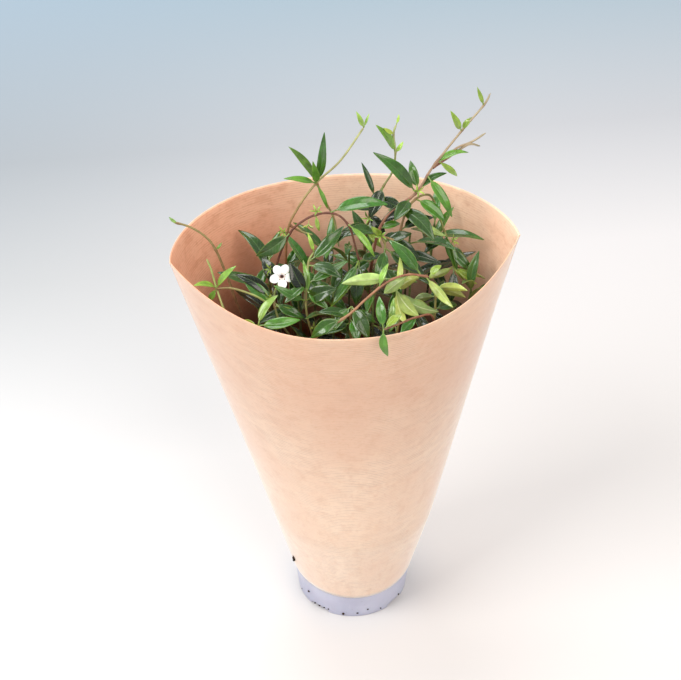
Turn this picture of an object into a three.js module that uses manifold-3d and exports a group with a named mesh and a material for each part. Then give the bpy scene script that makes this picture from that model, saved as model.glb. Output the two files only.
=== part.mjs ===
// Potted codonanthe gracilis in a kraft paper plant sleeve, in millimetres with +Z up.
// The origin is the middle of the pot's flat base, and the sleeve's creases lie along X.
import * as THREE from 'three';
import { mergeVertices } from 'three/addons/utils/BufferGeometryUtils.js';
import Module from 'manifold-3d';

const wasm = await Module();
wasm.setup();

// Driving dimensions of the nursery pot
const potHeight = 105;
const potBaseRadius = 44;
const potFlare = 0.115;
const potRimRadius = 60;
const potRimDepth = 12;
const potWall = 1.4;
const notchWidth = 19;
const notchHeight = 3.6;
const notchCount = 4;

// Driving dimensions of the soil and of the gap that touching pieces keep
const soilTop = 92;
const soilBump = 1.6;
const rootDepth = 12;
const fitGap = 0.35;

// Driving dimensions of the paper sleeve: its hem, the ring round the pot's rim and its mouth
const paper = 0.8;
const hemHeight = 26;
const hemRise = 5;
const ringHeight = 94;
const ringHalfWidth = 65.5;
const ringHalfDepth = 61.4;
const mouthHalfWidth = 130;
const mouthFrontDepth = 80;
const mouthBackDepth = 81.5;
const mouthShift = new THREE.Vector2(-5, 8);
const mouthFrontHeight = 321;
const mouthBackHeight = 348.5;
const creaseHeight = 341.5;
const frontRound = { across: 2.55, depth: 1.11 };
const backRound = { across: 2.5, depth: 1.73 };

// Driving dimensions of the blades, stems and flower
const bladeThick = 1.2;
const petioleWidth = 1.2;
const petioleShare = 0.12;
const bladeFold = 0.28;
const bladeBow = 0.07;
const stemTip = 1.5;
const stemSides = 5;
const stationGap = 27;
const stationCrowd = 1.35;
const pairTurn = 1.2;
const innerPairs = [3, 11, 21, 33, 48];
const outerPairs = [8, 36];
const pairLength = { young: 26, grown: 32, spread: 12 };
const pairWidth = 0.3;
const pairRoll = 40;
const youngDrop = 8;
const roundSides = 32;
const clearGap = 3.7;
const wallGap = 4;
const flowerWidth = 19;
const flowerTube = 12;
const lobeTurns = [62, 120, 194, 270, 346];
const calyxGap = 1.9;

// Colours and surfaces, as seen in the photograph
const looks = {
  pot: { color: 0xa9b0ca, roughness: 0.5, metalness: 0 },
  soil: { color: 0x35291f, roughness: 0.95, metalness: 0 },
  sleeve: { color: 0xe4ba94, roughness: 0.75, metalness: 0 },
  leafy: { color: 0x3f7a35, roughness: 0.4, metalness: 0 },
  corolla: { color: 0xf6f1ee, roughness: 0.6, metalness: 0 },
};

// The direction in which a photographed blade is bent clear, towards or away from the viewer
const sightLine = new THREE.Vector3(-0.095, -0.756, 0.648);
const up = new THREE.Vector3(0, 0, 1);

const vec = (x, y, z) => new THREE.Vector3(x, y, z);
const lerp = THREE.MathUtils.lerp;

// A closed body from rings of points that turn anticlockwise about the way they travel
function loft(rings, tip) {
  const sides = rings[0].length;
  const points = rings.flat();
  const faces = [];
  for (let i = 1; i < sides - 1; i += 1) {
    faces.push(0, i + 1, i);
  }
  for (let ring = 0; ring < rings.length - 1; ring += 1) {
    for (let i = 0; i < sides; i += 1) {
      const a = ring * sides + i;
      const b = ring * sides + ((i + 1) % sides);
      const c = a + sides;
      const d = b + sides;
      if (i % 2 === 0) {
        faces.push(a, b, d, a, d, c);
      } else {
        faces.push(a, b, c, b, d, c);
      }
    }
  }
  const last = (rings.length - 1) * sides;
  if (tip) {
    points.push(tip);
    for (let i = 0; i < sides; i += 1) {
      faces.push(last + i, last + ((i + 1) % sides), points.length - 1);
    }
  } else {
    for (let i = 1; i < sides - 1; i += 1) {
      faces.push(last, last + i, last + i + 1);
    }
  }
  return solidOf(points, faces);
}

// A solid for joining and cutting, from points and the corners of its triangles
function solidOf(points, faces) {
  const vertProperties = new Float32Array(points.flatMap((p) => [p.x, p.y, p.z]));
  const mesh = new wasm.Mesh({ numProp: 3, vertProperties, triVerts: new Uint32Array(faces) });
  return new wasm.Manifold(mesh);
}

// The same from a three.js geometry whose seams are merged first
function solidOfGeometry(geometry) {
  const bare = new THREE.BufferGeometry();
  bare.setAttribute('position', geometry.attributes.position);
  if (geometry.index) {
    bare.setIndex(geometry.index);
  }
  const merged = mergeVertices(bare, 1e-4);
  const corners = Array.from(merged.index.array);
  const faces = [];
  for (let i = 0; i < corners.length; i += 3) {
    const [a, b, c] = corners.slice(i, i + 3);
    if (a !== b && b !== c && a !== c) {
      faces.push(a, b, c);
    }
  }
  const place = merged.attributes.position;
  const points = Array.from({ length: place.count }, (_, i) => vec().fromBufferAttribute(place, i));
  return solidOf(points, faces);
}

// A lathe about Z from a closed profile of radius and height, anticlockwise with the radius to the right
function turned(profile, segments) {
  const outline = [...profile, profile[0]].map(([radius, height]) => new THREE.Vector2(radius, height));
  return solidOfGeometry(new THREE.LatheGeometry(outline, segments).rotateX(Math.PI / 2));
}

const group = new THREE.Group();

// A named mesh of the part, from a finished solid
function addNode(name, solid, look) {
  const mesh = solid.getMesh();
  const geometry = new THREE.BufferGeometry();
  geometry.setAttribute('position', new THREE.BufferAttribute(new Float32Array(mesh.vertProperties), 3));
  geometry.setIndex(new THREE.BufferAttribute(new Uint32Array(mesh.triVerts), 1));
  geometry.computeVertexNormals();
  const node = new THREE.Mesh(geometry, new THREE.MeshStandardMaterial(look));
  node.name = name;
  group.add(node);
}

// The mouth of the sleeve: two bowed panels that meet in the creases at angle 0 and 180 degrees
function mouthPoint(angle) {
  const across = Math.cos(angle);
  const share = Math.abs(across);
  const isBack = Math.sin(angle) >= 0;
  const round = isBack ? backRound : frontRound;
  const depth = isBack ? mouthBackDepth : -mouthFrontDepth;
  const middle = isBack ? mouthBackHeight : mouthFrontHeight;
  return vec(
    mouthShift.x + mouthHalfWidth * across,
    mouthShift.y + depth * Math.max(0, 1 - share ** round.across) ** (1 / round.depth),
    lerp(middle, creaseHeight, share * share),
  );
}

function ringPoint(angle) {
  return vec(ringHalfWidth * Math.cos(angle), ringHalfDepth * Math.sin(angle), ringHeight);
}

// The hem is a cut edge on the pot's wall that rises a little towards the creases
function hemPoint(angle) {
  const height = hemHeight + hemRise * Math.cos(angle) ** 2;
  const radius = potBaseRadius + potFlare * height + fitGap + paper;
  return vec(radius * Math.cos(angle), radius * Math.sin(angle), height);
}

// The sleeve's outside, from the hem at rise 0 over the ring at rise 1 to the mouth at rise 2
function sleevePoint(angle, rise) {
  if (rise <= 1) {
    return hemPoint(angle).lerp(ringPoint(angle), rise);
  }
  return ringPoint(angle).lerp(mouthPoint(angle), rise - 1);
}

function sleeveInside(angle, rise) {
  const step = 0.02;
  const along = sleevePoint(angle + step, rise).sub(sleevePoint(angle - step, rise));
  const outward = vec(along.y, -along.x, 0).normalize();
  return sleevePoint(angle, rise).addScaledVector(outward, -paper);
}

function makeSleeve() {
  const angles = 52;
  const rises = [0, 0.5, 1, 1.45, 2];
  const points = [];
  const faces = [];
  for (const wall of [sleevePoint, sleeveInside]) {
    for (const rise of rises) {
      for (let i = 0; i < angles; i += 1) {
        points.push(wall((i / angles) * 2 * Math.PI, rise));
      }
    }
  }
  const inner = rises.length * angles;
  const quad = (a, b, c, d) => faces.push(a, b, c, a, c, d);
  for (let i = 0; i < angles; i += 1) {
    const next = (i + 1) % angles;
    for (let level = 0; level < rises.length - 1; level += 1) {
      const low = level * angles;
      const high = low + angles;
      quad(low + i, low + next, high + next, high + i);
      quad(inner + low + next, inner + low + i, inner + high + i, inner + high + next);
    }
    const top = inner - angles;
    quad(i, inner + i, inner + next, next);
    quad(top + i, top + next, inner + top + next, inner + top + i);
  }
  return solidOf(points, faces);
}

// The nursery pot: a flared wall, a rolled rim and a flat base with drain notches at its edge
function makePot() {
  const rimFoot = potHeight - potRimDepth;
  const wallAt = (height) => potBaseRadius + potFlare * height;
  const rimWall = wallAt(rimFoot);
  const profile = [
    [0, 0],
    [potBaseRadius - 1, 0],
    [potBaseRadius, 1],
    [rimWall, rimFoot],
    [potRimRadius - 1, rimFoot + 0.6],
    [potRimRadius, rimFoot + 2],
    [potRimRadius, potHeight - 1],
    [potRimRadius - 0.8, potHeight],
    [potRimRadius - 2.2, potHeight],
    [potRimRadius - 2.6, rimFoot + 3],
    [rimWall - potWall, rimFoot - 1],
    [wallAt(potWall) - potWall - 0.6, potWall + 0.4],
    [0, potWall + 0.4],
  ];
  let pot = turned(profile, roundSides);
  for (let i = 0; i < notchCount; i += 1) {
    const arch = new THREE.Shape();
    arch.absellipse(0, 0, notchWidth / 2, notchHeight, 0, Math.PI, false, 0);
    arch.lineTo(-notchWidth / 2, -1);
    arch.lineTo(notchWidth / 2, -1);
    const cutter = new THREE.ExtrudeGeometry(arch, { depth: 8, bevelEnabled: false, curveSegments: 7 });
    cutter.rotateX(Math.PI / 2).translate(0, -potBaseRadius + 5, 0);
    cutter.rotateZ(((i + 0.5) / notchCount) * 2 * Math.PI);
    pot = pot.subtract(solidOfGeometry(cutter));
  }
  return pot;
}

// The height of the uneven soil at a place on it
function soilHeight(x, y) {
  const waves = Math.sin(x * 0.21 + 1) * Math.cos(y * 0.17) + 0.6 * Math.sin(x * 0.4 - y * 0.33);
  return soilTop + soilBump * waves;
}

function makeSoil() {
  const foot = potWall + 0.4 + fitGap;
  const footRadius = potBaseRadius + potFlare * foot - potWall - 0.6 - fitGap;
  const topRadius = potBaseRadius + potFlare * soilTop - potWall - fitGap * 1.5;
  const edge = soilTop - 3;
  const rings = [0.88, 0.5].map((share) => [topRadius * share, soilTop]);
  const profile = [[0, foot], [footRadius, foot], [topRadius - 0.4, edge], ...rings, [0, soilTop]];
  const outline = [...profile, profile[0]].map(([radius, height]) => new THREE.Vector2(radius, height));
  const plug = new THREE.LatheGeometry(outline, roundSides).rotateX(Math.PI / 2);
  const place = plug.attributes.position;
  for (let i = 0; i < place.count; i += 1) {
    if (Math.abs(place.getZ(i) - soilTop) < 1e-3) {
      place.setZ(i, soilHeight(place.getX(i), place.getY(i)));
    }
  }
  return solidOfGeometry(plug);
}

// Leafy stems copied from the photograph. A route starts in the soil and its points are joined by a
// smooth curve; twigs leave it at one of its points. A blade is written as the place on the route
// (point 2.5 is halfway between points 2 and 3), its reach in x, y and z, its width and its roll.
const shoots = [
  {
    name: 'stem_runner_left',
    root: [-34, 6],
    route: [[-44, 4, 160], [-66, 2, 240], [-85, 0, 295], [-93, 4, 324], [-101, 10, 348], [-108, 14, 358],
      [-119, 18, 365], [-131, 20, 369]],
    thick: 4,
    blades: [
      [8.7, -6, 3, 4, 3, 0], [6, 5, 2, 5, 2.5, 0],
    ],
    leafyTo: 235,
  },
  {
    name: 'stem_sprig_left',
    root: [-24, -20],
    route: [[-40, -24, 160], [-66, -30, 240], [-90, -34, 298], [-98, -28, 318], [-103, -15, 332],
      [-106, -11, 346], [-109, -10, 356]],
    thick: 2.2,
    twigs: [{ from: 6, route: [[-92, -19, 334], [-76, -22, 328], [-64, -20, 316]] }],
    blades: [
      [6, 14, -3, 22, 7, -30], [6, -17, -7, 10, 6, 30], [6, -9, -9, -6, 6, 20],
    ],
    leafyTo: 262,
  },
  {
    name: 'stem_tall_left',
    root: [-24, 26],
    route: [[-36, 34, 180], [-46, 36, 280], [-46, 30, 341], [-38, 30, 365], [-24, 30, 387], [-6, 30, 406],
      [11, 30, 434]],
    thick: 2.4,
    twigs: [
      { from: 6, route: [[-17, 32, 368], [-10, 35, 348], [-6, 40, 318]] },
      { from: 4.25, route: [[-35, 34, 340], [-26, 38, 333]] },
    ],
    blades: [
      [6, 6, -2, 47, 9, -20], [6, -20, 4, 32, 8, 25], [6, -24, -8, 13, 7, 30],
      [6, -4, -15, 31, 7, 0], [6, 8, -4, -22, 4, 0], [3.4, 10, 8, 11, 8, 0], [8, -5, 0, 14, 5, 20],
      [8, 4, 2, 10, 2.5, 0],
    ],
    leafyTo: 300,
  },
  {
    name: 'stem_arch',
    root: [-10, 6],
    route: [[-34, 10, 180], [-54, 14, 270], [-57, 12, 320], [-47, 10, 356], [-35, 8, 371], [-22, 5, 378],
      [-11, 4, 376], [-3, 2, 366], [1, 0, 350], [4, -2, 336]],
    thick: 2.4,
    blades: [
      [7.4, 43, -1, 6, 13, -22], [8.8, 18, -18, -19, 6, 0], [5.1, -26, -8, -13, 13, -10],
      [3.7, -8, 15, 16, 13, 0], [10.9, -24, -20, -27, 9, 0], [11, -5, -20, -25, 14, 0],
      [11, -23, -28, -15, 10, 30], [11, 20, 10, -2, 10, -30], [6.6, 2, -5, -12, 4, 0],
    ],
    leafyTo: 290,
  },
  {
    name: 'stem_tall_right',
    root: [14, 12],
    route: [[12, 10, 180], [12, 12, 270], [22, 20, 348], [51, 34, 368], [64, 40, 386], [86, 46, 413],
      [102, 48, 433], [107, 50, 442]],
    thick: 3,
    twigs: [
      { from: 6, route: [[72, 45, 387], [83, 48, 396], [95, 52, 398], [106, 55, 403]] },
      { from: 6, route: [[76, 46, 389], [92, 50, 397], [102, 54, 392]] },
    ],
    blades: [
      [5, -32, 4, 39, 13, 20], [4.7, -20, -8, -12, 9, 0], [5.7, 17, -22, -23, 10, -20],
      [6.2, 17, 2, -17, 7, -30], [4.5, 26, -21, -20, 15, -20], [3.5, 35, -10, -7, 10, -20],
      [4, 17, 1, 4, 8, -20], [5.1, -4, 15, 17, 9, 0], [5.1, 22, 6, 10, 8, -30],
      [6.1, 26, 6, 6, 7, -30], [7, -9, -2, 20, 7, 20], [7, 8, 3, 10, 6, -30], [8, -5, 2, 15, 4, 0],
      [4.8, -16, -12, -16, 13, 20], [3.9, -24, -4, 10, 11, 30], [3.6, -20, -12, -6, 13, 20],
    ],
    leafyTo: 300,
  },
  {
    name: 'stem_droop_right',
    root: [26, 2],
    route: [[32, 4, 180], [36, 10, 270], [36, 14, 340], [46, 28, 362], [62, 38, 362], [70, 36, 341],
      [76, 30, 321], [79, 20, 306]],
    thick: 2.4,
    twigs: [{ from: 9, route: [[90, 16, 305], [102, 10, 300]] }],
    blades: [
      [5.3, 20, -13, -13, 12, -20], [4.7, 28, -15, -14, 9, 160], [3.8, 31, -9, -6, 10, -10],
      [7.8, 6, -16, -18, 9, -20], [7.5, 6, -18, -21, 7, 30], [8.1, 18, -15, -15, 10, -10],
      [9, -20, -3, -6, 7, 160], [9, 21, -8, -6, 4, 0], [9, 17, -11, -10, 4, 0],
      [9, -7, -19, -23, 10, 10], [8, 14, -8, -18, 10, -20], [8.5, 9, -12, -16, 4, 0],
      [4, -10, 12, -4, 12, 30], [4.2, 26, 8, 4, 12, -30], [7.6, -18, -12, -8, 10, 30],
    ],
    leafyTo: 290,
  },
  {
    name: 'stem_front_thick',
    root: [-18, -34],
    route: [[-32, -42, 160], [-44, -50, 240], [-46, -56, 292], [-35, -60, 316], [-11, -55, 330],
      [3, -48, 338], [20, -40, 346], [36, -34, 346], [52, -30, 339]],
    thick: 3.2,
    blades: [
      [9.8, 18, -17, -18, 9, 160], [8.2, -37, 2, -2, 12, 160], [5.8, -24, -6, -11, 12, 0],
      [9, -20, -12, -6, 12, 165], [7.6, 8, 10, 14, 6, -20], [10, 10, 8, 4, 7, -20],
      [9.6, -21, 20, 20, 12, -20],
    ],
    leafyTo: 270,
  },
  {
    name: 'stem_pale_right',
    root: [14, -18],
    route: [[18, -26, 180], [24, -32, 260], [30, -36, 312], [27, -34, 332]],
    thick: 2.2,
    blades: [
      [5, 18, 5, 8, 11, -160], [5, 15, -14, -15, 13, 165], [5, 32, -15, -12, 12, 160],
      [5, 5, -17, -19, 10, 165], [5, 5, 16, 19, 6, 160], [4.4, 26, -8, -10, 12, -160],
      [4.2, -10, -14, -12, 9, 10],
    ],
    leafyTo: 300,
  },
  {
    name: 'stem_pale_hooked',
    root: [34, -14],
    route: [[46, -18, 180], [56, -22, 260], [58, -24, 315], [54, -28, 330]],
    thick: 2.2,
    blades: [
      [4.3, 24, 2, -12, 9, -160], [4.6, 9, -4, -7, 7, -20], [4, -14, -10, 6, 9, 150],
      [3.7, 18, 8, -4, 10, -20], [4.5, 24, -8, 2, 9, -150],
    ],
    leafyTo: 296,
  },
  {
    name: 'stem_over_rim',
    root: [26, -26],
    route: [[38, -34, 180], [53, -42, 270], [53, -45, 312], [40, -54, 322], [24, -64, 325], [12, -74, 330]],
    thick: 2.2,
    blades: [
      [7, 2, -9, -19, 8, 10], [7, -1, 16, 18, 9, 0], [6.5, 4, 13, 16, 6, 0],
      [6.9, 13, 5, 8, 8, -20], [5, -14, -10, -8, 10, 30],
    ],
    leafyTo: 280,
  },
  {
    name: 'stem_flower',
    root: [-12, -16],
    route: [[-26, -14, 180], [-42, -14, 260], [-58, -18, 300], [-60, -8, 316], [-53, 2, 324]],
    thick: 2.2,
    blades: [
      [4.6, -22, 16, 15, 13, 15], [4.8, -27, 15, 14, 11, 0], [4.5, 19, -8, -6, 4, 0],
      [4.6, 21, -10, -8, 10, -20], [4, -14, -8, -6, 9, 20],
    ],
    leafyTo: 285,
    calyxes: [[6, -0.095, -0.756, 0.648]],
  },
  {
    name: 'stem_low_left',
    root: [-30, -28],
    route: [[-44, -36, 170], [-62, -44, 250], [-74, -48, 300], [-76, -47, 320]],
    thick: 2.4,
    blades: [
      [5, 16, 13, 17, 9, -30], [5, 31, -1, 3, 12, -30], [5, -19, 5, 3, 7, 20],
      [4.4, 14, -4, 6, 5, 0],
    ],
    leafyTo: 290,
  },
  {
    name: 'stem_left_middle',
    root: [-2, -22],
    route: [[-14, -26, 180], [-30, -28, 270], [-38, -24, 310], [-36, -12, 332], [-33, -2, 342], [-26, 4, 346]],
    thick: 2.2,
    blades: [
      [5.8, 28, 14, 20, 12, -20], [6.7, 28, 7, 12, 12, -20], [4.5, -10, 16, 18, 13, 0],
      [4.3, 25, 3, 8, 15, -10], [4.3, -24, 11, 9, 9, 20], [4.8, 32, 7, 13, 10, -20],
      [4.4, 0, 18, 21, 6, 0], [4.6, 16, -10, -12, 9, -20], [6.6, -4, 6, 14, 4, 0],
      [5.6, 24, -8, -8, 12, -20], [4.8, -18, -12, -6, 10, 30],
    ],
    leafyTo: 290,
  },
  {
    name: 'stem_middle',
    root: [6, 2],
    route: [[4, -4, 180], [8, -8, 270], [18, -6, 320], [24, 4, 342], [22, 8, 350]],
    thick: 2.2,
    twigs: [{ from: 6, route: [[30, 4, 349], [36, 6, 341], [35, -2, 336]] }],
    blades: [
      [5, 29, -10, -20, 14, -25], [5.7, 26, -12, -11, 11, -10], [3, 3, 18, 22, 12, 0],
      [4.4, 9, -18, -21, 12, -10], [4, -18, -8, 4, 11, 30], [5.4, 14, 14, -8, 10, -20],
      [5, -10, -22, -14, 11, 0], [6, -8, -6, 14, 6, 0],
    ],
    leafyTo: 296,
  },
  {
    name: 'stem_hanging_front',
    root: [2, -42],
    route: [[2, -44, 180], [-4, -44, 270], [-8, -42, 306], [-6, -36, 322]],
    thick: 2.2,
    blades: [
      [3.6, 7, 10, 12, 8, 160], [3.7, -11, 15, 16, 12, 0], [5, 10, -20, -16, 13, 0],
      [5, -14, -12, -12, 10, 20], [4.4, 4, -16, -10, 10, 0], [4.8, 18, -6, -8, 9, -20],
      [4.2, -20, -8, -2, 10, 30], [4.5, -24, 4, 4, 11, 40],
    ],
    leafyTo: 290,
  },
  {
    name: 'stem_back',
    root: [4, 30],
    route: [[8, 40, 180], [12, 42, 280], [18, 44, 345], [28, 43, 370], [34, 40, 385], [36, 40, 402],
      [34, 38, 420], [36, 38, 429]],
    thick: 2.2,
    blades: [
      [4.4, -8, 18, 21, 6, 20], [4, 10, -12, -12, 11, 0], [3.8, 9, -13, -14, 7, 0],
      [7, -15, -4, 29, 8, 20], [8, -8, -2, 8, 4, 0], [9, 2, 2, 7, 2.5, 0], [7, 6, 2, 8, 4, 0],
      [5, -12, -14, -18, 14, 20], [4.2, -16, -10, 6, 13, 30], [3.4, -7, 20, 24, 11, 10],
      [4.4, 20, -12, -6, 12, -20], [3.8, -26, -8, -4, 12, 20],
    ],
    leafyTo: 310,
  },
];

// Shorter stems inside the sleeve that fill the plant's heart, as root and top
const innerStems = [
  { root: [-41, -8], top: [-61, 34, 314] },
  { root: [34, 20], top: [68, 46, 330] },
  { root: [-8, 42], top: [-14, 46, 318] },
  { root: [-1, 14], top: [0, 26, 334] },
  { root: [-18, 14], top: [-28, 18, 318] },
  { root: [40, -22], top: [78, -22, 298] },
  { root: [-10, -6], top: [-18, -18, 318] },
  { root: [42, 2], top: [90, 2, 298] },
  { root: [22, 29], top: [47, 31, 334] },
  { root: [8, -26], top: [12, -22, 324] },
  { root: [22, -12], top: [42, -8, 328] },
  { root: [-20, -4], top: [-42, 2, 312] },
];

// A repeatable draw between 0 and 1
function drawFrom(seed) {
  let state = seed;
  return () => {
    state = (state * 16807) % 2147483647;
    return state / 2147483647;
  };
}

function curveOf(points) {
  return new THREE.CatmullRomCurve3(points.map((p) => vec(...p)), false, 'catmullrom', 0.5);
}

// A stem starts upright in its hole in the soil
function fullRoute(shoot) {
  const [x, y] = shoot.root;
  return [[x, y, soilTop - rootDepth], [x, y, soilTop + 10], ...shoot.route];
}

// Points along a stem and their radii, thinner towards the tip
function stemStations(curve, thick, startShare) {
  const steps = Math.max(2, Math.round(curve.getLength() / stationGap));
  return Array.from({ length: steps + 1 }, (_, i) => {
    const t = 1 - (1 - i / steps) ** stationCrowd;
    const share = lerp(startShare, 1, t);
    return { place: curve.getPointAt(t), way: curve.getTangentAt(t), radius: lerp(thick, stemTip, share) / 2 };
  });
}

// A round stem as rings carried along its stations without twisting
function tubeOf(stations, grow) {
  let side = vec(1, 0, 0);
  const rings = stations.map(({ place, way, radius }) => {
    side = side.addScaledVector(way, -side.dot(way)).normalize();
    const other = vec().crossVectors(way, side);
    return Array.from({ length: stemSides }, (_, i) => {
      const turn = (i / stemSides) * 2 * Math.PI;
      return place.clone()
        .addScaledVector(side, (radius + grow) * Math.cos(turn))
        .addScaledVector(other, (radius + grow) * Math.sin(turn));
    });
  });
  return loft(rings);
}

// The frame of a blade: its side and its upper face, which looks at the lean before it is rolled
function bladeFrame(reach, lean, roll) {
  const way = reach.clone().normalize();
  const side = vec().crossVectors(way, lean).normalize();
  side.applyAxisAngle(way, THREE.MathUtils.degToRad(roll));
  return { side, face: vec().crossVectors(side, way) };
}

// Half the blade's width along it: a slim petiole and then a lance shape with a drawn-out tip
function halfWidth(width, t) {
  if (t <= petioleShare) {
    return petioleWidth / 2;
  }
  const u = (t - petioleShare) / (1 - petioleShare);
  return (width / 2) * Math.sin(Math.PI * u ** 0.8) ** 1.1;
}

function bladeMiddle(base, reach, face, t) {
  const bow = bladeBow * reach.length() * 4 * t * (1 - t);
  return base.clone().addScaledVector(reach, t).addScaledVector(face, bow);
}

// Where a blade has its cross-sections: more of them on a long one that the photograph shows
function stationsOf(length, isPlain) {
  if (isPlain || length < 16) {
    return [0, 0.42];
  }
  return length < 27 ? [0, petioleShare, 0.45] : [0, petioleShare, 0.38, 0.7];
}

// A fleshy blade, thick at the midrib, folded like a shallow channel and drawn out to a point
function bladeSolid(base, reach, lean, width, roll, isPlain) {
  const { side, face } = bladeFrame(reach, lean, roll);
  const rings = stationsOf(reach.length(), isPlain).map((t) => {
    const middle = bladeMiddle(base, reach, face, t);
    const half = Math.max(halfWidth(width, t), petioleWidth / 2);
    const lift = t > petioleShare ? bladeFold * half : 0;
    const edge = (sign) => middle.clone().addScaledVector(side, sign * half).addScaledVector(face, lift);
    return [
      middle.clone().addScaledVector(face, bladeThick / 2),
      edge(1),
      middle.clone().addScaledVector(face, -bladeThick / 2),
      edge(-1),
    ];
  });
  return loft(rings, base.clone().add(reach));
}

// Points spread over a blade, for keeping it clear of other stems
function bladePoints(base, reach, lean, width, roll) {
  const { side, face } = bladeFrame(reach, lean, roll);
  const points = [];
  for (let step = 1; step <= 8; step += 1) {
    const t = step / 8;
    const half = halfWidth(width, Math.min(t, 0.999));
    for (const across of [-1, -0.5, 0, 0.5, 1]) {
      points.push(bladeMiddle(base, reach, face, t)
        .addScaledVector(side, across * half)
        .addScaledVector(face, Math.abs(across) * bladeFold * half));
    }
  }
  return points;
}

// Places already taken, each list of points with its owner's name and the gap it asks for
const taken = [];

function take(name, points, gap) {
  taken.push({ name, points, gap });
}

function isClear(name, points) {
  return taken.every((other) => other.name === name
    || points.every((p) => other.points.every((q) => p.distanceToSquared(q) > other.gap ** 2)));
}

function curvePoints(curve) {
  const count = Math.ceil(curve.getLength() / 4);
  return Array.from({ length: count + 1 }, (_, i) => curve.getPoint(i / count));
}

// The corolla: a thin-walled trumpet with five round lobes, built along +Z
function makeCorolla() {
  const mouthRadius = 2.6;
  const outline = [[0, 0], [1, 0], [1.5, 4], [mouthRadius + 0.5, flowerTube], [mouthRadius - 0.3, flowerTube],
    [0.8, 5], [0, 5]];
  let corolla = turned(outline, 10);
  const lobeReach = flowerWidth / 2 - mouthRadius + 1;
  const lobeHalves = [[0, 1.6], [0.3, 2.7], [0.65, 3.3], [0.92, 2.2]];
  lobeTurns.forEach((lobeTurn, i) => {
    const rings = lobeHalves.map(([share, half]) => {
      const out = mouthRadius - 0.4 + lobeReach * share;
      const high = flowerTube - 0.5 + 1.6 * share - 1.4 * share * share + (i % 2) * 0.3 * share;
      return [vec(out, 0, high + 0.4), vec(out, -half, high), vec(out, 0, high - 0.4), vec(out, half, high)];
    });
    const lobe = loft(rings, vec(mouthRadius - 0.4 + lobeReach, 0, flowerTube - 0.4));
    corolla = corolla.add(lobe.rotate([0, 0, lobeTurn]));
  });
  return corolla;
}

// Turn a body built along +Z to point along a way and stand at a place
function aimed(solid, place, way) {
  const turn = new THREE.Quaternion().setFromUnitVectors(vec(0, 0, 1), vec(...way).normalize());
  const matrix = new THREE.Matrix4().compose(place, turn, vec(1, 1, 1));
  return solid.transform(matrix.elements);
}

// A calyx of five narrow sepals round the end of a flower stalk
function calyxSolid(place, way) {
  const axis = vec(...way).normalize();
  const side = vec(1, 0, 0).addScaledVector(axis, -axis.x).normalize();
  let calyx = null;
  for (let i = 0; i < 5; i += 1) {
    const spread = side.clone().applyAxisAngle(axis, ((i + 0.5) / 5) * 2 * Math.PI);
    const reach = spread.multiplyScalar(6).addScaledVector(axis, 3);
    const sepal = bladeSolid(place, reach, axis, 1.8, 0, true);
    calyx = calyx ? calyx.add(sepal) : sepal;
  }
  return calyx;
}

// Every stem's curves: the main route and its twigs
for (const inner of innerStems) {
  const [x, y, z] = inner.top;
  const [rootX, rootY] = inner.root;
  shoots.push({
    name: `stem_inner_${innerStems.indexOf(inner) + 1}`,
    root: inner.root,
    route: [
      [lerp(rootX, x, 0.35), lerp(rootY, y, 0.35), 160],
      [lerp(rootX, x, 0.75), lerp(rootY, y, 0.75), 225],
      inner.top,
    ],
    thick: 2.4,
    blades: [],
    leafyTo: z + 1,
    pairs: innerPairs,
  });
}
for (const shoot of shoots) {
  shoot.pairs ??= outerPairs;
  const main = curveOf(fullRoute(shoot));
  const last = fullRoute(shoot).length - 1;
  shoot.at = (index) => main.getPoint(index / last);
  shoot.stems = [stemStations(main, shoot.thick, 0)];
  const curves = [main];
  for (const twig of shoot.twigs ?? []) {
    const fork = rootOn(shoot.stems, shoot.at(twig.from));
    const curve = curveOf([fork.toArray(), ...twig.route]);
    shoot.stems.push(stemStations(curve, shoot.thick, 0.7));
    curves.push(curve);
  }
  shoot.main = main;
  shoot.points = curves.flatMap(curvePoints);
}

// Take the places of the paper, the pot's rim, the corolla and all stems before any blade
const wallPoints = [];
for (let i = 0; i < 120; i += 1) {
  for (let rise = 0.8; rise < 2.01; rise += 0.03) {
    wallPoints.push(sleevePoint((i / 120) * 2 * Math.PI, Math.min(rise, 2)));
  }
}
take('sleeve', wallPoints, wallGap);
for (const shoot of shoots) {
  take(shoot.name, shoot.points, clearGap);
}
const flowerShoot = shoots.find((shoot) => shoot.name === 'stem_flower');
const [calyxAt, ...flowerWay] = flowerShoot.calyxes[0];
const corollaBase = flowerShoot.at(calyxAt).addScaledVector(vec(...flowerWay).normalize(), calyxGap);
const corolla = aimed(makeCorolla(), corollaBase, flowerWay);
const petalPoints = [];
const flowerAxis = vec(...flowerWay).normalize();
const flowerSide = vec(1, 0, 0).addScaledVector(flowerAxis, -flowerAxis.x).normalize();
for (let i = 0; i < 12; i += 1) {
  const spoke = flowerSide.clone().applyAxisAngle(flowerAxis, i * Math.PI / 6);
  for (const radius of [2, 5, 9]) {
    petalPoints.push(corollaBase.clone()
      .addScaledVector(flowerAxis, flowerTube * (radius > 2 ? 1 : i / 12))
      .addScaledVector(spoke, radius));
  }
}
take('corolla', petalPoints, clearGap);

// The nearest place on the straight stretches between a stem's stations, where a blade is rooted
function rootOn(stems, place) {
  const found = vec();
  let nearest = Infinity;
  let root = place;
  for (const stations of stems) {
    for (let i = 1; i < stations.length; i += 1) {
      new THREE.Line3(stations[i - 1].place, stations[i].place).closestPointToPoint(place, true, found);
      if (found.distanceTo(place) < nearest) {
        nearest = found.distanceTo(place);
        root = found.clone();
      }
    }
  }
  return root;
}

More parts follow.
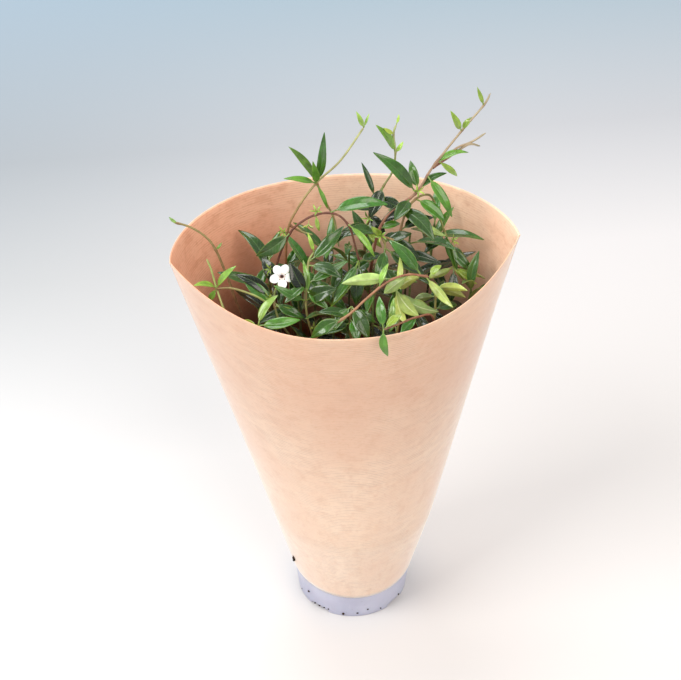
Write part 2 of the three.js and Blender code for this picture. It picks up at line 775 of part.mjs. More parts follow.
// Set a blade on its stem, bent by the first of the tries that is clear, or leave it out
function setBlade(shoot, base, reach, lean, width, roll, tries, isPlain) {
  for (const bend of tries) {
    const bent = reach.clone().add(bend).setLength(reach.length());
    const points = bladePoints(base, bent, lean, width, roll);
    if (isClear(shoot.name, points)) {
      take(shoot.name, points, clearGap);
      shoot.solids.push(bladeSolid(rootOn(shoot.stems, base), bent, lean, width, roll, isPlain));
      return;
    }
  }
}

// Blades copied from the photograph, bent along the line of sight where another stem is in the way
const sightTries = [0, 6, -6, 12, -12, 18, -18, 24].map((length) => sightLine.clone().multiplyScalar(length));
for (const shoot of shoots) {
  shoot.solids = shoot.stems.map((stations) => tubeOf(stations, 0));
  for (const [at, x, y, z, width, roll] of shoot.blades) {
    setBlade(shoot, shoot.at(at), vec(x, y, z), sightLine, width, roll, sightTries, false);
  }
  for (const [at, ...way] of shoot.calyxes ?? []) {
    shoot.solids.push(calyxSolid(rootOn(shoot.stems, shoot.at(at)), way));
  }
}

// Opposite pairs below these, each a part of a turn from the last, lifted or lowered where it is crowded
const liftTries = [0, 10, -10, 22, -22, 36, 50].map((height) => vec(0, 0, height));
for (const shoot of shoots) {
  const draw = drawFrom(1000 + 37 * shoots.indexOf(shoot));
  const length = shoot.main.getLength();
  const places = Array.from({ length: 200 }, (_, i) => shoot.main.getPointAt(1 - i / 200));
  const start = places.findIndex((place) => place.z < shoot.leafyTo) / 200 * length;
  let heading = draw() * Math.PI;
  for (const drop of shoot.pairs) {
    const base = shoot.main.getPointAt(1 - (start + drop) / length);
    const reachLength = (drop < youngDrop ? pairLength.young : pairLength.grown) + pairLength.spread * draw();
    const lift = 0.75 * draw() - 0.25;
    const roll = pairRoll * (draw() - 0.5);
    heading += pairTurn + 0.4 * (draw() - 0.5);
    for (const turn of [heading, heading + Math.PI + 0.5 * (draw() - 0.5)]) {
      const reach = vec(Math.cos(turn), Math.sin(turn), Math.tan(lift)).setLength(reachLength);
      setBlade(shoot, base, reach, up, reachLength * pairWidth, roll, liftTries, true);
    }
  }
}

// The nodes: pot, soil with a hole for every stem, sleeve, corolla and leafy stems
let soil = makeSoil();
for (const shoot of shoots) {
  const socket = shoot.stems[0].slice(0, 3);
  socket[0].place.z -= fitGap;
  soil = soil.subtract(tubeOf(socket, fitGap));
  socket[0].place.z += fitGap;
}
addNode('nursery_pot', makePot(), looks.pot);
addNode('soil', soil, looks.soil);
addNode('paper_sleeve', makeSleeve(), looks.sleeve);
addNode('corolla', corolla, looks.corolla);
for (const shoot of shoots) {
  addNode(shoot.name, shoot.solids.reduce((whole, solid) => whole.add(solid)), looks.leafy);
}

export default group;
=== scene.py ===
from itertools import combinations

import bpy
import numpy as np
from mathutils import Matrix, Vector


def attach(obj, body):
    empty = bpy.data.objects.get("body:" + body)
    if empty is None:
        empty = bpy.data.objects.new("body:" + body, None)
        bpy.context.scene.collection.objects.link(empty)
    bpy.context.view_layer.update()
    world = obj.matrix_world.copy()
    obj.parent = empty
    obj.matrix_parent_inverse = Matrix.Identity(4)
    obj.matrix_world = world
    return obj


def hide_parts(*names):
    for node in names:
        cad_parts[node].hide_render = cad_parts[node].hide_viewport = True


# A potted codonanthe gracilis in a kraft paper plant sleeve.
# Everything is worked out in millimetres, +Z up, from the middle of the pot's base,
# and goes into the meshes in metres.

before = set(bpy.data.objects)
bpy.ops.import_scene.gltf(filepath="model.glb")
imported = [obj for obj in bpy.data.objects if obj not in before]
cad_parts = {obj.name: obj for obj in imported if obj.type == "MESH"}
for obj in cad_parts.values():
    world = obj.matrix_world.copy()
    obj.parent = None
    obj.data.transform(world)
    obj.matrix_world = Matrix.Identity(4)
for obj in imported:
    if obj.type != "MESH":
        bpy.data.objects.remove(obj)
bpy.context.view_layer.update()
mm = 0.001


def linear(code):  # an sRGB hex value as linear red, green, blue and alpha
    part = np.array([int(code[i:i + 2], 16) for i in (1, 3, 5)]) / 255
    value = np.where(part <= 0.04045, part / 12.92, ((part + 0.055) / 1.055) ** 2.4)
    return (*value.tolist(), 1.0)


def paint(code):  # the same as an array of three, for arithmetic
    return np.array(linear(code)[:3])


def lerp(a, b, t):
    return a + (b - a) * t


def smooth(low, high, value):  # 0 below low, 1 above high, and an s-shaped step between
    t = np.clip((value - low) / (high - low), 0, 1)
    return t * t * (3 - 2 * t)


def unit(v):
    return v / np.maximum(np.linalg.norm(v, axis=-1, keepdims=True), 1e-9)


def spun(x, y, angle):  # x and y turned about the origin
    return x * np.cos(angle) - y * np.sin(angle), x * np.sin(angle) + y * np.cos(angle)


def turned(radius, angle, height):  # points round the Z axis
    return np.stack(np.broadcast_arrays(radius * np.cos(angle), radius * np.sin(angle), height), axis=-1)


def ripple(x, y, seed, waves=7, low=0.5, high=1.5):
    # a smooth uneven field: several sine waves of drawn direction, length and phase, added up
    draw = np.random.default_rng(seed)
    total = np.zeros(np.broadcast(x, y).shape)
    for turn, pitch, phase in zip(draw.uniform(0, 2 * np.pi, waves), draw.uniform(low, high, waves),
                                  draw.uniform(0, 2 * np.pi, waves)):
        total += np.sin(pitch * (x * np.cos(turn) + y * np.sin(turn)) + phase)
    return total / np.sqrt(waves)


class Skin:
    # Collects closed shapes with their uv, tint and finish, and makes one piece of them

    def __init__(self, name):
        self.name = name
        self.points, self.faces, self.uv, self.tint, self.finish = [], [], [], [], []
        self.count = 0

    def addLofts(self, rings, v, tint, finish):
        # rings is bodies x stations x ring x 3, anticlockwise about the way they travel.
        # Neighbouring rings are joined by quads, and the first and last are closed by one face.
        # u runs once round the ring and v is given for each station.
        bodies, stations, size = rings.shape[:3]
        index = np.arange(bodies * stations * size).reshape(bodies, stations, size) + self.count
        right = np.roll(index, -1, axis=2)
        quads = np.stack([index[:, :-1], right[:, :-1], right[:, 1:], index[:, 1:]], axis=-1)
        step = np.arange(size) / size
        u = np.stack([step, step + 1 / size, step + 1 / size, step], axis=-1)
        u = np.broadcast_to(u, (bodies, stations - 1, size, 4))
        v = np.broadcast_to(v, (bodies, stations))
        ends = np.stack([v[:, :-1], v[:, :-1], v[:, 1:], v[:, 1:]], axis=-1)[:, :, None, :]
        self.points.append(rings.reshape(-1, 3))
        self.faces += quads.reshape(-1, 4).tolist()
        self.uv.append(np.stack([u, np.broadcast_to(ends, u.shape)], axis=-1).reshape(-1, 2))
        for cap in (index[:, 0, ::-1], index[:, -1]):
            self.faces += cap.tolist()
            self.uv.append(np.tile([0.25, 0.0], (cap.size, 1)))
        self.tint.append(np.broadcast_to(tint, rings.shape).reshape(-1, 3))
        self.finish.append(np.full(len(quads.reshape(-1, 4)) + 2 * bodies, finish))
        self.count += rings.shape[0] * stations * size

    def addFaces(self, points, faces, tint, finish, uv=None):
        # any other closed shape, from its points and its faces' corners
        corners = sum(len(face) for face in faces)
        self.points.append(points)
        self.faces += [[corner + self.count for corner in face] for face in faces]
        self.uv.append(np.zeros((corners, 2)) if uv is None else uv)
        self.tint.append(np.broadcast_to(tint, points.shape))
        self.finish.append(np.broadcast_to(finish, len(faces)))
        self.count += len(points)

    def addGrid(self, points, u, v, tint, finish):
        # a surface closed both ways, as turns round the object x points round its own section x 3.
        # u is given for each turn and v for each point of the section; one more u closes the last turn.
        turns, size = points.shape[:2]
        index = np.arange(turns * size).reshape(turns, size) + self.count
        ahead, over = np.roll(index, -1, 0), np.roll(index, -1, 1)
        self.faces += np.stack([index, over, np.roll(ahead, -1, 1), ahead], axis=-1).reshape(-1, 4).tolist()
        u = np.append(u, u[-1] + (u[-1] - u[-2]))
        here, there = (np.broadcast_to(way[:, None], (turns, size)) for way in (u[:-1], u[1:]))
        low, high = (np.broadcast_to(way, (turns, size)) for way in (v, np.roll(v, -1)))
        corners = ((here, low), (here, high), (there, high), (there, low))
        self.uv.append(np.stack([np.stack(corner, -1) for corner in corners], axis=2).reshape(-1, 2))
        self.points.append(points.reshape(-1, 3))
        self.tint.append(np.broadcast_to(tint, points.shape).reshape(-1, 3))
        self.finish.append(np.broadcast_to(finish, (turns, size)).ravel())
        self.count += turns * size

    def build(self, materials, slot, *replaced):
        mesh = bpy.data.meshes.new(self.name)
        mesh.from_pydata((np.concatenate(self.points) * mm).tolist(), [], self.faces)
        layer = mesh.uv_layers.new(name="surface")
        layer.data.foreach_set("uv", np.concatenate(self.uv).ravel())
        tint = np.concatenate(self.tint)
        colours = mesh.color_attributes.new("tint", "FLOAT_COLOR", "POINT")
        colours.data.foreach_set("color", np.c_[tint, np.ones(len(tint))].ravel())
        for material in materials:
            mesh.materials.append(material)
        mesh.polygons.foreach_set("material_index", np.concatenate(self.finish).astype(np.int32))
        mesh.polygons.foreach_set("use_smooth", np.ones(len(mesh.polygons), dtype=bool))
        mesh.validate()
        mesh.update()
        piece = bpy.data.objects.new(self.name, mesh)
        bpy.context.scene.collection.objects.link(piece)
        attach(piece, "root")
        if replaced:
            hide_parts(*replaced)
        print(f"{self.name}: {len(mesh.vertices)} points, {len(mesh.polygons)} faces")
        return piece


def addNode(tree, kind, inputs=(), output=0, **settings):
    # adds a node, sets its own properties, gives its inputs values or links from other sockets, by name
    # or number or as a list in the inputs' own order, and hands back one of its outputs
    node = tree.nodes.new("ShaderNode" + kind)
    for key, value in settings.items():
        setattr(node, key, value)
    for key, value in inputs.items() if isinstance(inputs, dict) else enumerate(inputs):
        if isinstance(value, bpy.types.NodeSocket):
            tree.links.new(value, node.inputs[key])
        else:
            node.inputs[key].default_value = value
    return node.outputs[output]


def newMaterial(name, finish):  # a material whose shader has these values all over
    material = bpy.data.materials.new(name)
    material.use_nodes = True
    shader = material.node_tree.nodes["Principled BSDF"]
    for key, value in finish.items():
        shader.inputs[key].default_value = value
    return material, material.node_tree, shader


def connect(tree, shader, sockets):  # gives the shader what varies over the surface
    for name, socket in sockets.items():
        tree.links.new(socket, shader.inputs[name])


# settings that several nodes share
blend = dict(data_type="RGBA")
times = dict(data_type="RGBA", blend_type="MULTIPLY")
softStep = dict(interpolation_type="SMOOTHSTEP")
evenStep = dict(interpolation_type="LINEAR")

# sizes in metres; the midrib, veins and margin as shares of the half width and of the length
leafFinish = dict(midrib=0.07, veinPitch=0.085, veinSlant=0.16, margin=0.78,
                  dustSize=0.001, mottleSize=0.005, patchSize=0.018,
                  ribAbove="#7D9C5C", ribBelow="#C6CE9C", lime="#8FB04A",
                  ribShare=(0.22, 0.5), veinShare=0.07, limeShare=0.55, rough=(0.17, 0.28), roughBelow=0.22)


def makeLeafFinish():
    # codonanthe leaf: a thick waxy leaf, as glossy as polished hide above and satin below. Its wax gives
    # broad soft highlights, its midrib is a fine groove, its side veins hardly show and its margin is
    # a thin lime line, partly the leaf's own paler edge and partly painted edge light.
    look = leafFinish
    material, tree, shader = newMaterial("waxy_leaf", {
        "IOR": 1.45, "Specular IOR Level": 0.3, "Coat Weight": 0.7, "Coat Roughness": 0.08,
        "Subsurface Weight": 0.05, "Subsurface Scale": 0.002})
    uv = addNode(tree, "UVMap", uv_map="surface")
    place = addNode(tree, "TexCoord", output="Object")
    tint = addNode(tree, "Attribute", output="Color", attribute_name="tint")
    u, v = (addNode(tree, "SeparateXYZ", [uv], part) for part in (0, 1))
    under = addNode(tree, "Math", [u, 0.5], operation="GREATER_THAN")
    # u runs 0 to 0.5 over the upper side and 0.5 to 1 over the lower: fold both to 0 at the midrib
    double = addNode(tree, "Math", [u, 2.0], operation="MULTIPLY")
    half = addNode(tree, "Math", [double], operation="FRACT")
    centred = addNode(tree, "Math", [half, 2.0, -1.0], operation="MULTIPLY_ADD")
    across = addNode(tree, "Math", [centred], operation="ABSOLUTE")
    inner, outer = look["midrib"] * 0.3, look["midrib"] * 1.6
    midrib = addNode(tree, "MapRange", [across, inner, outer, 1.0, 0.0], **softStep)
    # side veins leave the midrib forwards, so their phase is the way along less part of the way across
    phase = addNode(tree, "Math", [across, -look["veinSlant"], v], operation="MULTIPLY_ADD")
    turn = addNode(tree, "Math", [phase, 2 * np.pi / look["veinPitch"]], operation="MULTIPLY")
    wave = addNode(tree, "Math", [turn], operation="SINE")
    vein = addNode(tree, "MapRange", [wave, 0.8, 1.0, 0.0, 1.0], **softStep)
    mottle, patch, dust = (
        addNode(tree, "TexNoise", {"Vector": place, "Scale": 1 / look[size], "Detail": detail})
        for size, detail in (("mottleSize", 4.0), ("patchSize", 2.0), ("dustSize", 3.0)))
    fine = addNode(tree, "MapRange", [mottle, 0.3, 0.7, 0.8, 1.22], **softStep)
    wide = addNode(tree, "MapRange", [patch, 0.35, 0.65, 0.86, 1.16], **softStep)
    shade = addNode(tree, "Math", [fine, wide], operation="MULTIPLY")
    colour = addNode(tree, "Mix", {0: 1.0, 6: tint, 7: shade}, 2, **times)
    # the midrib and veins are paler than the leaf, most of all underneath, and the margin is lime, partly its
    # own colour and partly painted edge light
    above, below = linear(look["ribAbove"]), linear(look["ribBelow"])
    rib = addNode(tree, "Mix", {0: under, 6: above, 7: below}, 2, **blend)
    ribShare = addNode(tree, "MapRange", [under, 0.0, 1.0, *look["ribShare"]], **evenStep)
    ribMix = addNode(tree, "Math", [midrib, ribShare], operation="MULTIPLY")
    veinMix = addNode(tree, "Math", [vein, look["veinShare"]], operation="MULTIPLY")
    limeMix = addNode(tree, "MapRange", [across, look["margin"], 0.98, 0.0, look["limeShare"]], **softStep)
    for share, over in ((ribMix, rib), (veinMix, rib), (limeMix, linear(look["lime"]))):
        colour = addNode(tree, "Mix", {0: share, 6: colour, 7: over}, 2, **blend)
    wax = addNode(tree, "MapRange", [dust, 0.35, 0.7, *look["rough"]], **softStep)
    rough = addNode(tree, "Math", [under, look["roughBelow"], wax], operation="MULTIPLY_ADD")
    normal = addNode(tree, "Bump", {"Height": dust, "Distance": 0.0001, "Strength": 0.35})
    relief = addNode(tree, "Math", [midrib, -1.5, vein], operation="MULTIPLY_ADD")
    normal = addNode(tree, "Bump", {"Height": relief, "Distance": 0.00014, "Strength": 0.5,
                                    "Normal": normal})
    connect(tree, shader, {"Base Color": colour, "Roughness": rough, "Normal": normal})
    return material


stemFinish = dict(fibreSize=0.0006, poreSize=0.0016, pore="#CDB68E", poreShare=0.35, rough=(0.45, 0.66))


def makeStemFinish():
    # a wiry stem whose thin bark turns from green to tan and red brown: dull, finely streaked along
    # its length, with pale pores
    look = stemFinish
    material, tree, shader = newMaterial("young_bark", {
        "IOR": 1.45, "Sheen Weight": 0.05, "Subsurface Weight": 0.03, "Subsurface Scale": 0.002})
    place = addNode(tree, "TexCoord", output="Object")
    uv = addNode(tree, "UVMap", uv_map="surface")
    tint = addNode(tree, "Attribute", output="Color", attribute_name="tint")
    # u goes once round and v is millimetres along, so streaks are squeezed across and drawn out along
    drawn = addNode(tree, "Mapping", {"Vector": uv, "Scale": (9.0, 0.16, 1.0)})
    streak = addNode(tree, "TexNoise", {"Vector": drawn, "Scale": 1.0, "Detail": 3.0})
    pore, fibre = (addNode(tree, "TexNoise", {"Vector": place, "Scale": 1 / look[size], "Detail": 2.0})
                   for size in ("poreSize", "fibreSize"))
    shade = addNode(tree, "MapRange", [streak, 0.3, 0.7, 0.72, 1.25], **softStep)
    colour = addNode(tree, "Mix", {0: 1.0, 6: tint, 7: shade}, 2, **times)
    dots = addNode(tree, "MapRange", [pore, 0.62, 0.72, 0.0, look["poreShare"]], **softStep)
    colour = addNode(tree, "Mix", {0: dots, 6: colour, 7: linear(look["pore"])}, 2, **blend)
    rough = addNode(tree, "MapRange", [fibre, 0.3, 0.7, *look["rough"]], **softStep)
    relief = addNode(tree, "Math", [streak, fibre], operation="ADD")
    normal = addNode(tree, "Bump", {"Height": relief, "Distance": 0.00025, "Strength": 0.6})
    connect(tree, shader, {"Base Color": colour, "Roughness": rough, "Normal": normal})
    return material


# the paper's machine ribs and its fibres and clouds, in millimetres
paperFinish = dict(ribPitch=2.0, ribDrift=24.0, dashSize=5.0, fibreSize=2.6, blotchSize=13.0,
                   cloudSize=70.0, rough=(0.5, 0.68))
# its two sides: the inside is drawn paler than the outside, painted light that makes up for the light from
# the floor that reaches only the outside, and the outside lets more light through
paperSides = dict(
    kraft_paper_outside=dict(plain="#DAAC92", pale="#DFB79D", blotch="#CB9579", rib="#B78B77", ribShare=0.5,
                             sheen=0.8, through=0.35),
    kraft_paper_inside=dict(plain="#F7BA97", pale="#FDCFAD", blotch="#CD8963", rib="#D79C7A", ribShare=0.42,
                            sheen=0.1, through=0.06))


def makePaperFinish(name):
    # ribbed kraft paper: unbleached fibre pressed dull by the machine, with a fine faint rib every
    # 2 mm or so that runs round the sleeve, short darker fibres along the ribs and cloudy blotches.
    # The uv is in millimetres, and the tint gives wear with a painted highlight, painted shade inside and
    # painted light.
    look, side = paperFinish, paperSides[name]
    material, tree, shader = newMaterial(name, {
        "IOR": 1.45, "Sheen Weight": side["sheen"], "Sheen Roughness": 0.4,
        "Subsurface Weight": side["through"], "Subsurface Scale": 0.004,
        "Subsurface Radius": (1.0, 0.7, 0.5)})
    uv = addNode(tree, "UVMap", uv_map="surface")
    tint = addNode(tree, "Attribute", output="Color", attribute_name="tint")
    height = addNode(tree, "SeparateXYZ", [uv], 1)
    # the patterns are drawn out along the ribs: the drift and the dashes most, the fibres a little
    wide, combed = (addNode(tree, "Mapping", {"Vector": uv, "Scale": (squeeze, 1.0, 1.0)})
                    for squeeze in (0.4, 0.85))
    drift, broken, clouds, fibres, blotches = (
        addNode(tree, "TexNoise", {"Vector": spread, "Scale": 1 / look[size], "Detail": detail,
                                   "Roughness": rough})
        for spread, size, detail, rough in (
            (wide, "ribDrift", 2.0, 0.5), (wide, "dashSize", 4.0, 0.5), (uv, "cloudSize", 3.0, 0.5),
            (combed, "fibreSize", 5.0, 0.65), (combed, "blotchSize", 6.0, 0.7)))
    along = addNode(tree, "Math", [drift, 1.6, height], operation="MULTIPLY_ADD")
    turn = addNode(tree, "Math", [along, 2 * np.pi / look["ribPitch"]], operation="MULTIPLY")
    wave = addNode(tree, "Math", [turn], operation="SINE")
    # the ribs fade in and out over the sheet and are broken into dashes
    ribs = addNode(tree, "MapRange", [wave, -0.5, 0.95, 0.0, 1.0], **softStep)
    for grain, low, high, least in ((broken, 0.35, 0.62, 0.1), (clouds, 0.4, 0.62, 0.35)):
        strong = addNode(tree, "MapRange", [grain, low, high, least, 1.0], **softStep)
        ribs = addNode(tree, "Math", [ribs, strong], operation="MULTIPLY")
    # from below: pale clouds, dark blotches, the ribs' shaded sides, dark fibres and pale fibres
    colour = linear(side["plain"])
    for grain, low, high, most, over, step in (
            (clouds, 0.35, 0.7, 1.0, "pale", softStep), (blotches, 0.46, 0.68, 0.38, "blotch", softStep),
            (ribs, 0.0, 1.0, side["ribShare"], "rib", evenStep),
            (fibres, 0.52, 0.75, 0.45, "blotch", softStep), (fibres, 0.45, 0.28, 0.3, "pale", softStep)):
        share = addNode(tree, "MapRange", [grain, low, high, 0.0, most], **step)
        colour = addNode(tree, "Mix", {0: share, 6: colour, 7: linear(side[over])}, 2, **blend)
    colour = addNode(tree, "Mix", {0: 1.0, 6: colour, 7: tint}, 2, **times)
    rough = addNode(tree, "MapRange", [fibres, 0.3, 0.7, *look["rough"]], **softStep)
    normal = addNode(tree, "Bump", {"Height": fibres, "Distance": 0.00012, "Strength": 0.4})
    normal = addNode(tree, "Bump", {"Height": ribs, "Distance": 0.0001, "Strength": 0.25, "Normal": normal})
    connect(tree, shader, {"Base Color": colour, "Roughness": rough, "Normal": normal})
    return material


petalFinish = dict(streak="#CFC6C4", streakShare=0.14, grainSize=0.0005, rough=(0.48, 0.62))


def makePetalFinish():
    # a thin crisp white petal: matt, faintly see-through, with faint grey streaks that lead into the
    # throat. u is across the lobe and v is the share of the way from the throat to its edge.
    look = petalFinish
    material, tree, shader = newMaterial("white_petal", {
        "IOR": 1.4, "Sheen Weight": 0.1, "Subsurface Weight": 0.15, "Subsurface Scale": 0.002})
    uv = addNode(tree, "UVMap", uv_map="surface")
    place = addNode(tree, "TexCoord", output="Object")
    tint = addNode(tree, "Attribute", output="Color", attribute_name="tint")
    drawn = addNode(tree, "Mapping", {"Vector": uv, "Scale": (50.0, 1.2, 1.0)})
    streak = addNode(tree, "TexNoise", {"Vector": drawn, "Scale": 1.0, "Detail": 2.0})
    grain = addNode(tree, "TexNoise", {"Vector": place, "Scale": 1 / look["grainSize"], "Detail": 3.0})
    share = addNode(tree, "MapRange", [streak, 0.45, 0.7, 0.0, look["streakShare"]], **softStep)
    colour = addNode(tree, "Mix", {0: share, 6: tint, 7: linear(look["streak"])}, 2, **blend)
    rough = addNode(tree, "MapRange", [grain, 0.3, 0.7, *look["rough"]], **softStep)
    relief = addNode(tree, "Math", [streak, grain], operation="ADD")
    normal = addNode(tree, "Bump", {"Height": relief, "Distance": 0.0001, "Strength": 0.5})
    connect(tree, shader, {"Base Color": colour, "Roughness": rough, "Normal": normal})
    return material


potFinish = dict(plain="#B4B5C9", worn="#C1C2D4", scuff="#D6D7E0", dirt="#5C4A3A", peelSize=0.0012,
                 cloudSize=0.03, scuffSize=0.0015, dirtSize=0.004, dirtTo=0.02, rough=(0.36, 0.48))


def makePotFinish():
    # thermoformed polypropylene nursery pot: an even satin with a faint orange peel, pale scuffs down
    # the wall from stacking and a little dried soil low down
    look = potFinish
    material, tree, shader = newMaterial("nursery_pot_plastic", {
        "IOR": 1.49, "Subsurface Weight": 0.05, "Subsurface Scale": 0.002})
    place = addNode(tree, "TexCoord", output="Object")
    height = addNode(tree, "SeparateXYZ", [place], 2)
    long = addNode(tree, "Mapping", {"Vector": place, "Scale": (1.0, 1.0, 0.08)})
    cloud, peel, streak, dirt = (
        addNode(tree, "TexNoise", {"Vector": spread, "Scale": 1 / look[size], "Detail": detail,
                                   "Roughness": rough})
        for spread, size, detail, rough in (
            (place, "cloudSize", 3.0, 0.5), (place, "peelSize", 2.0, 0.5), (long, "scuffSize", 4.0, 0.5),
            (place, "dirtSize", 5.0, 0.7)))
    worn = addNode(tree, "MapRange", [cloud, 0.35, 0.65, 0.0, 1.0], **softStep)
    scuff = addNode(tree, "MapRange", [streak, 0.6, 0.8, 0.0, 0.25], **softStep)
    low = addNode(tree, "MapRange", [height, 0.0, look["dirtTo"], 0.5, 0.1], **softStep)
    spots = addNode(tree, "MapRange", [dirt, 0.62, 0.72, 0.0, 1.0], **softStep)
    soiled = addNode(tree, "Math", [spots, low], operation="MULTIPLY")
    colour = linear(look["plain"])
    for share, over in ((worn, "worn"), (scuff, "scuff"), (soiled, "dirt")):
        colour = addNode(tree, "Mix", {0: share, 6: colour, 7: linear(look[over])}, 2, **blend)
    satin = addNode(tree, "MapRange", [peel, 0.3, 0.7, *look["rough"]], **softStep)
    rough = addNode(tree, "Math", [soiled, 0.4, satin], operation="MULTIPLY_ADD")
    relief = addNode(tree, "Math", [peel, soiled], operation="ADD")
    normal = addNode(tree, "Bump", {"Height": relief, "Distance": 0.0001, "Strength": 0.35})
    connect(tree, shader, {"Base Color": colour, "Roughness": rough, "Normal": normal})
    return material


soilFinish = dict(crumbScale=450.0, fineScale=1600.0, rough=(0.8, 0.98))  # waves in a metre


def makeSoilFinish():
    # peat potting mix: very dark damp crumbs with paler fibre. The tint gives bark and perlite.
    look = soilFinish
    material, tree, shader = newMaterial("potting_mix", {"IOR": 1.4})
    place = addNode(tree, "TexCoord", output="Object")
    tint = addNode(tree, "Attribute", output="Color", attribute_name="tint")
    crumb = addNode(tree, "TexNoise", {"Vector": place, "Scale": look["crumbScale"], "Detail": 6.0,
                                       "Roughness": 0.7})
    fine = addNode(tree, "TexNoise", {"Vector": place, "Scale": look["fineScale"], "Detail": 3.0})
    shade = addNode(tree, "MapRange", [crumb, 0.3, 0.75, 0.45, 1.6], **softStep)
    colour = addNode(tree, "Mix", {0: 1.0, 6: tint, 7: shade}, 2, **times)
    rough = addNode(tree, "MapRange", [fine, 0.3, 0.7, *look["rough"]], **softStep)
    relief = addNode(tree, "Math", [crumb, fine], operation="ADD")
    normal = addNode(tree, "Bump", {"Height": relief, "Distance": 0.0008, "Strength": 0.8})
    connect(tree, shader, {"Base Color": colour, "Roughness": rough, "Normal": normal})
    return material


waxyLeaf, youngBark, whitePetal = makeLeafFinish(), makeStemFinish(), makePetalFinish()
kraftOutside, kraftInside = (makePaperFinish(name) for name in paperSides)
potPlastic, pottingMix = makePotFinish(), makeSoilFinish()
print("finishes made")


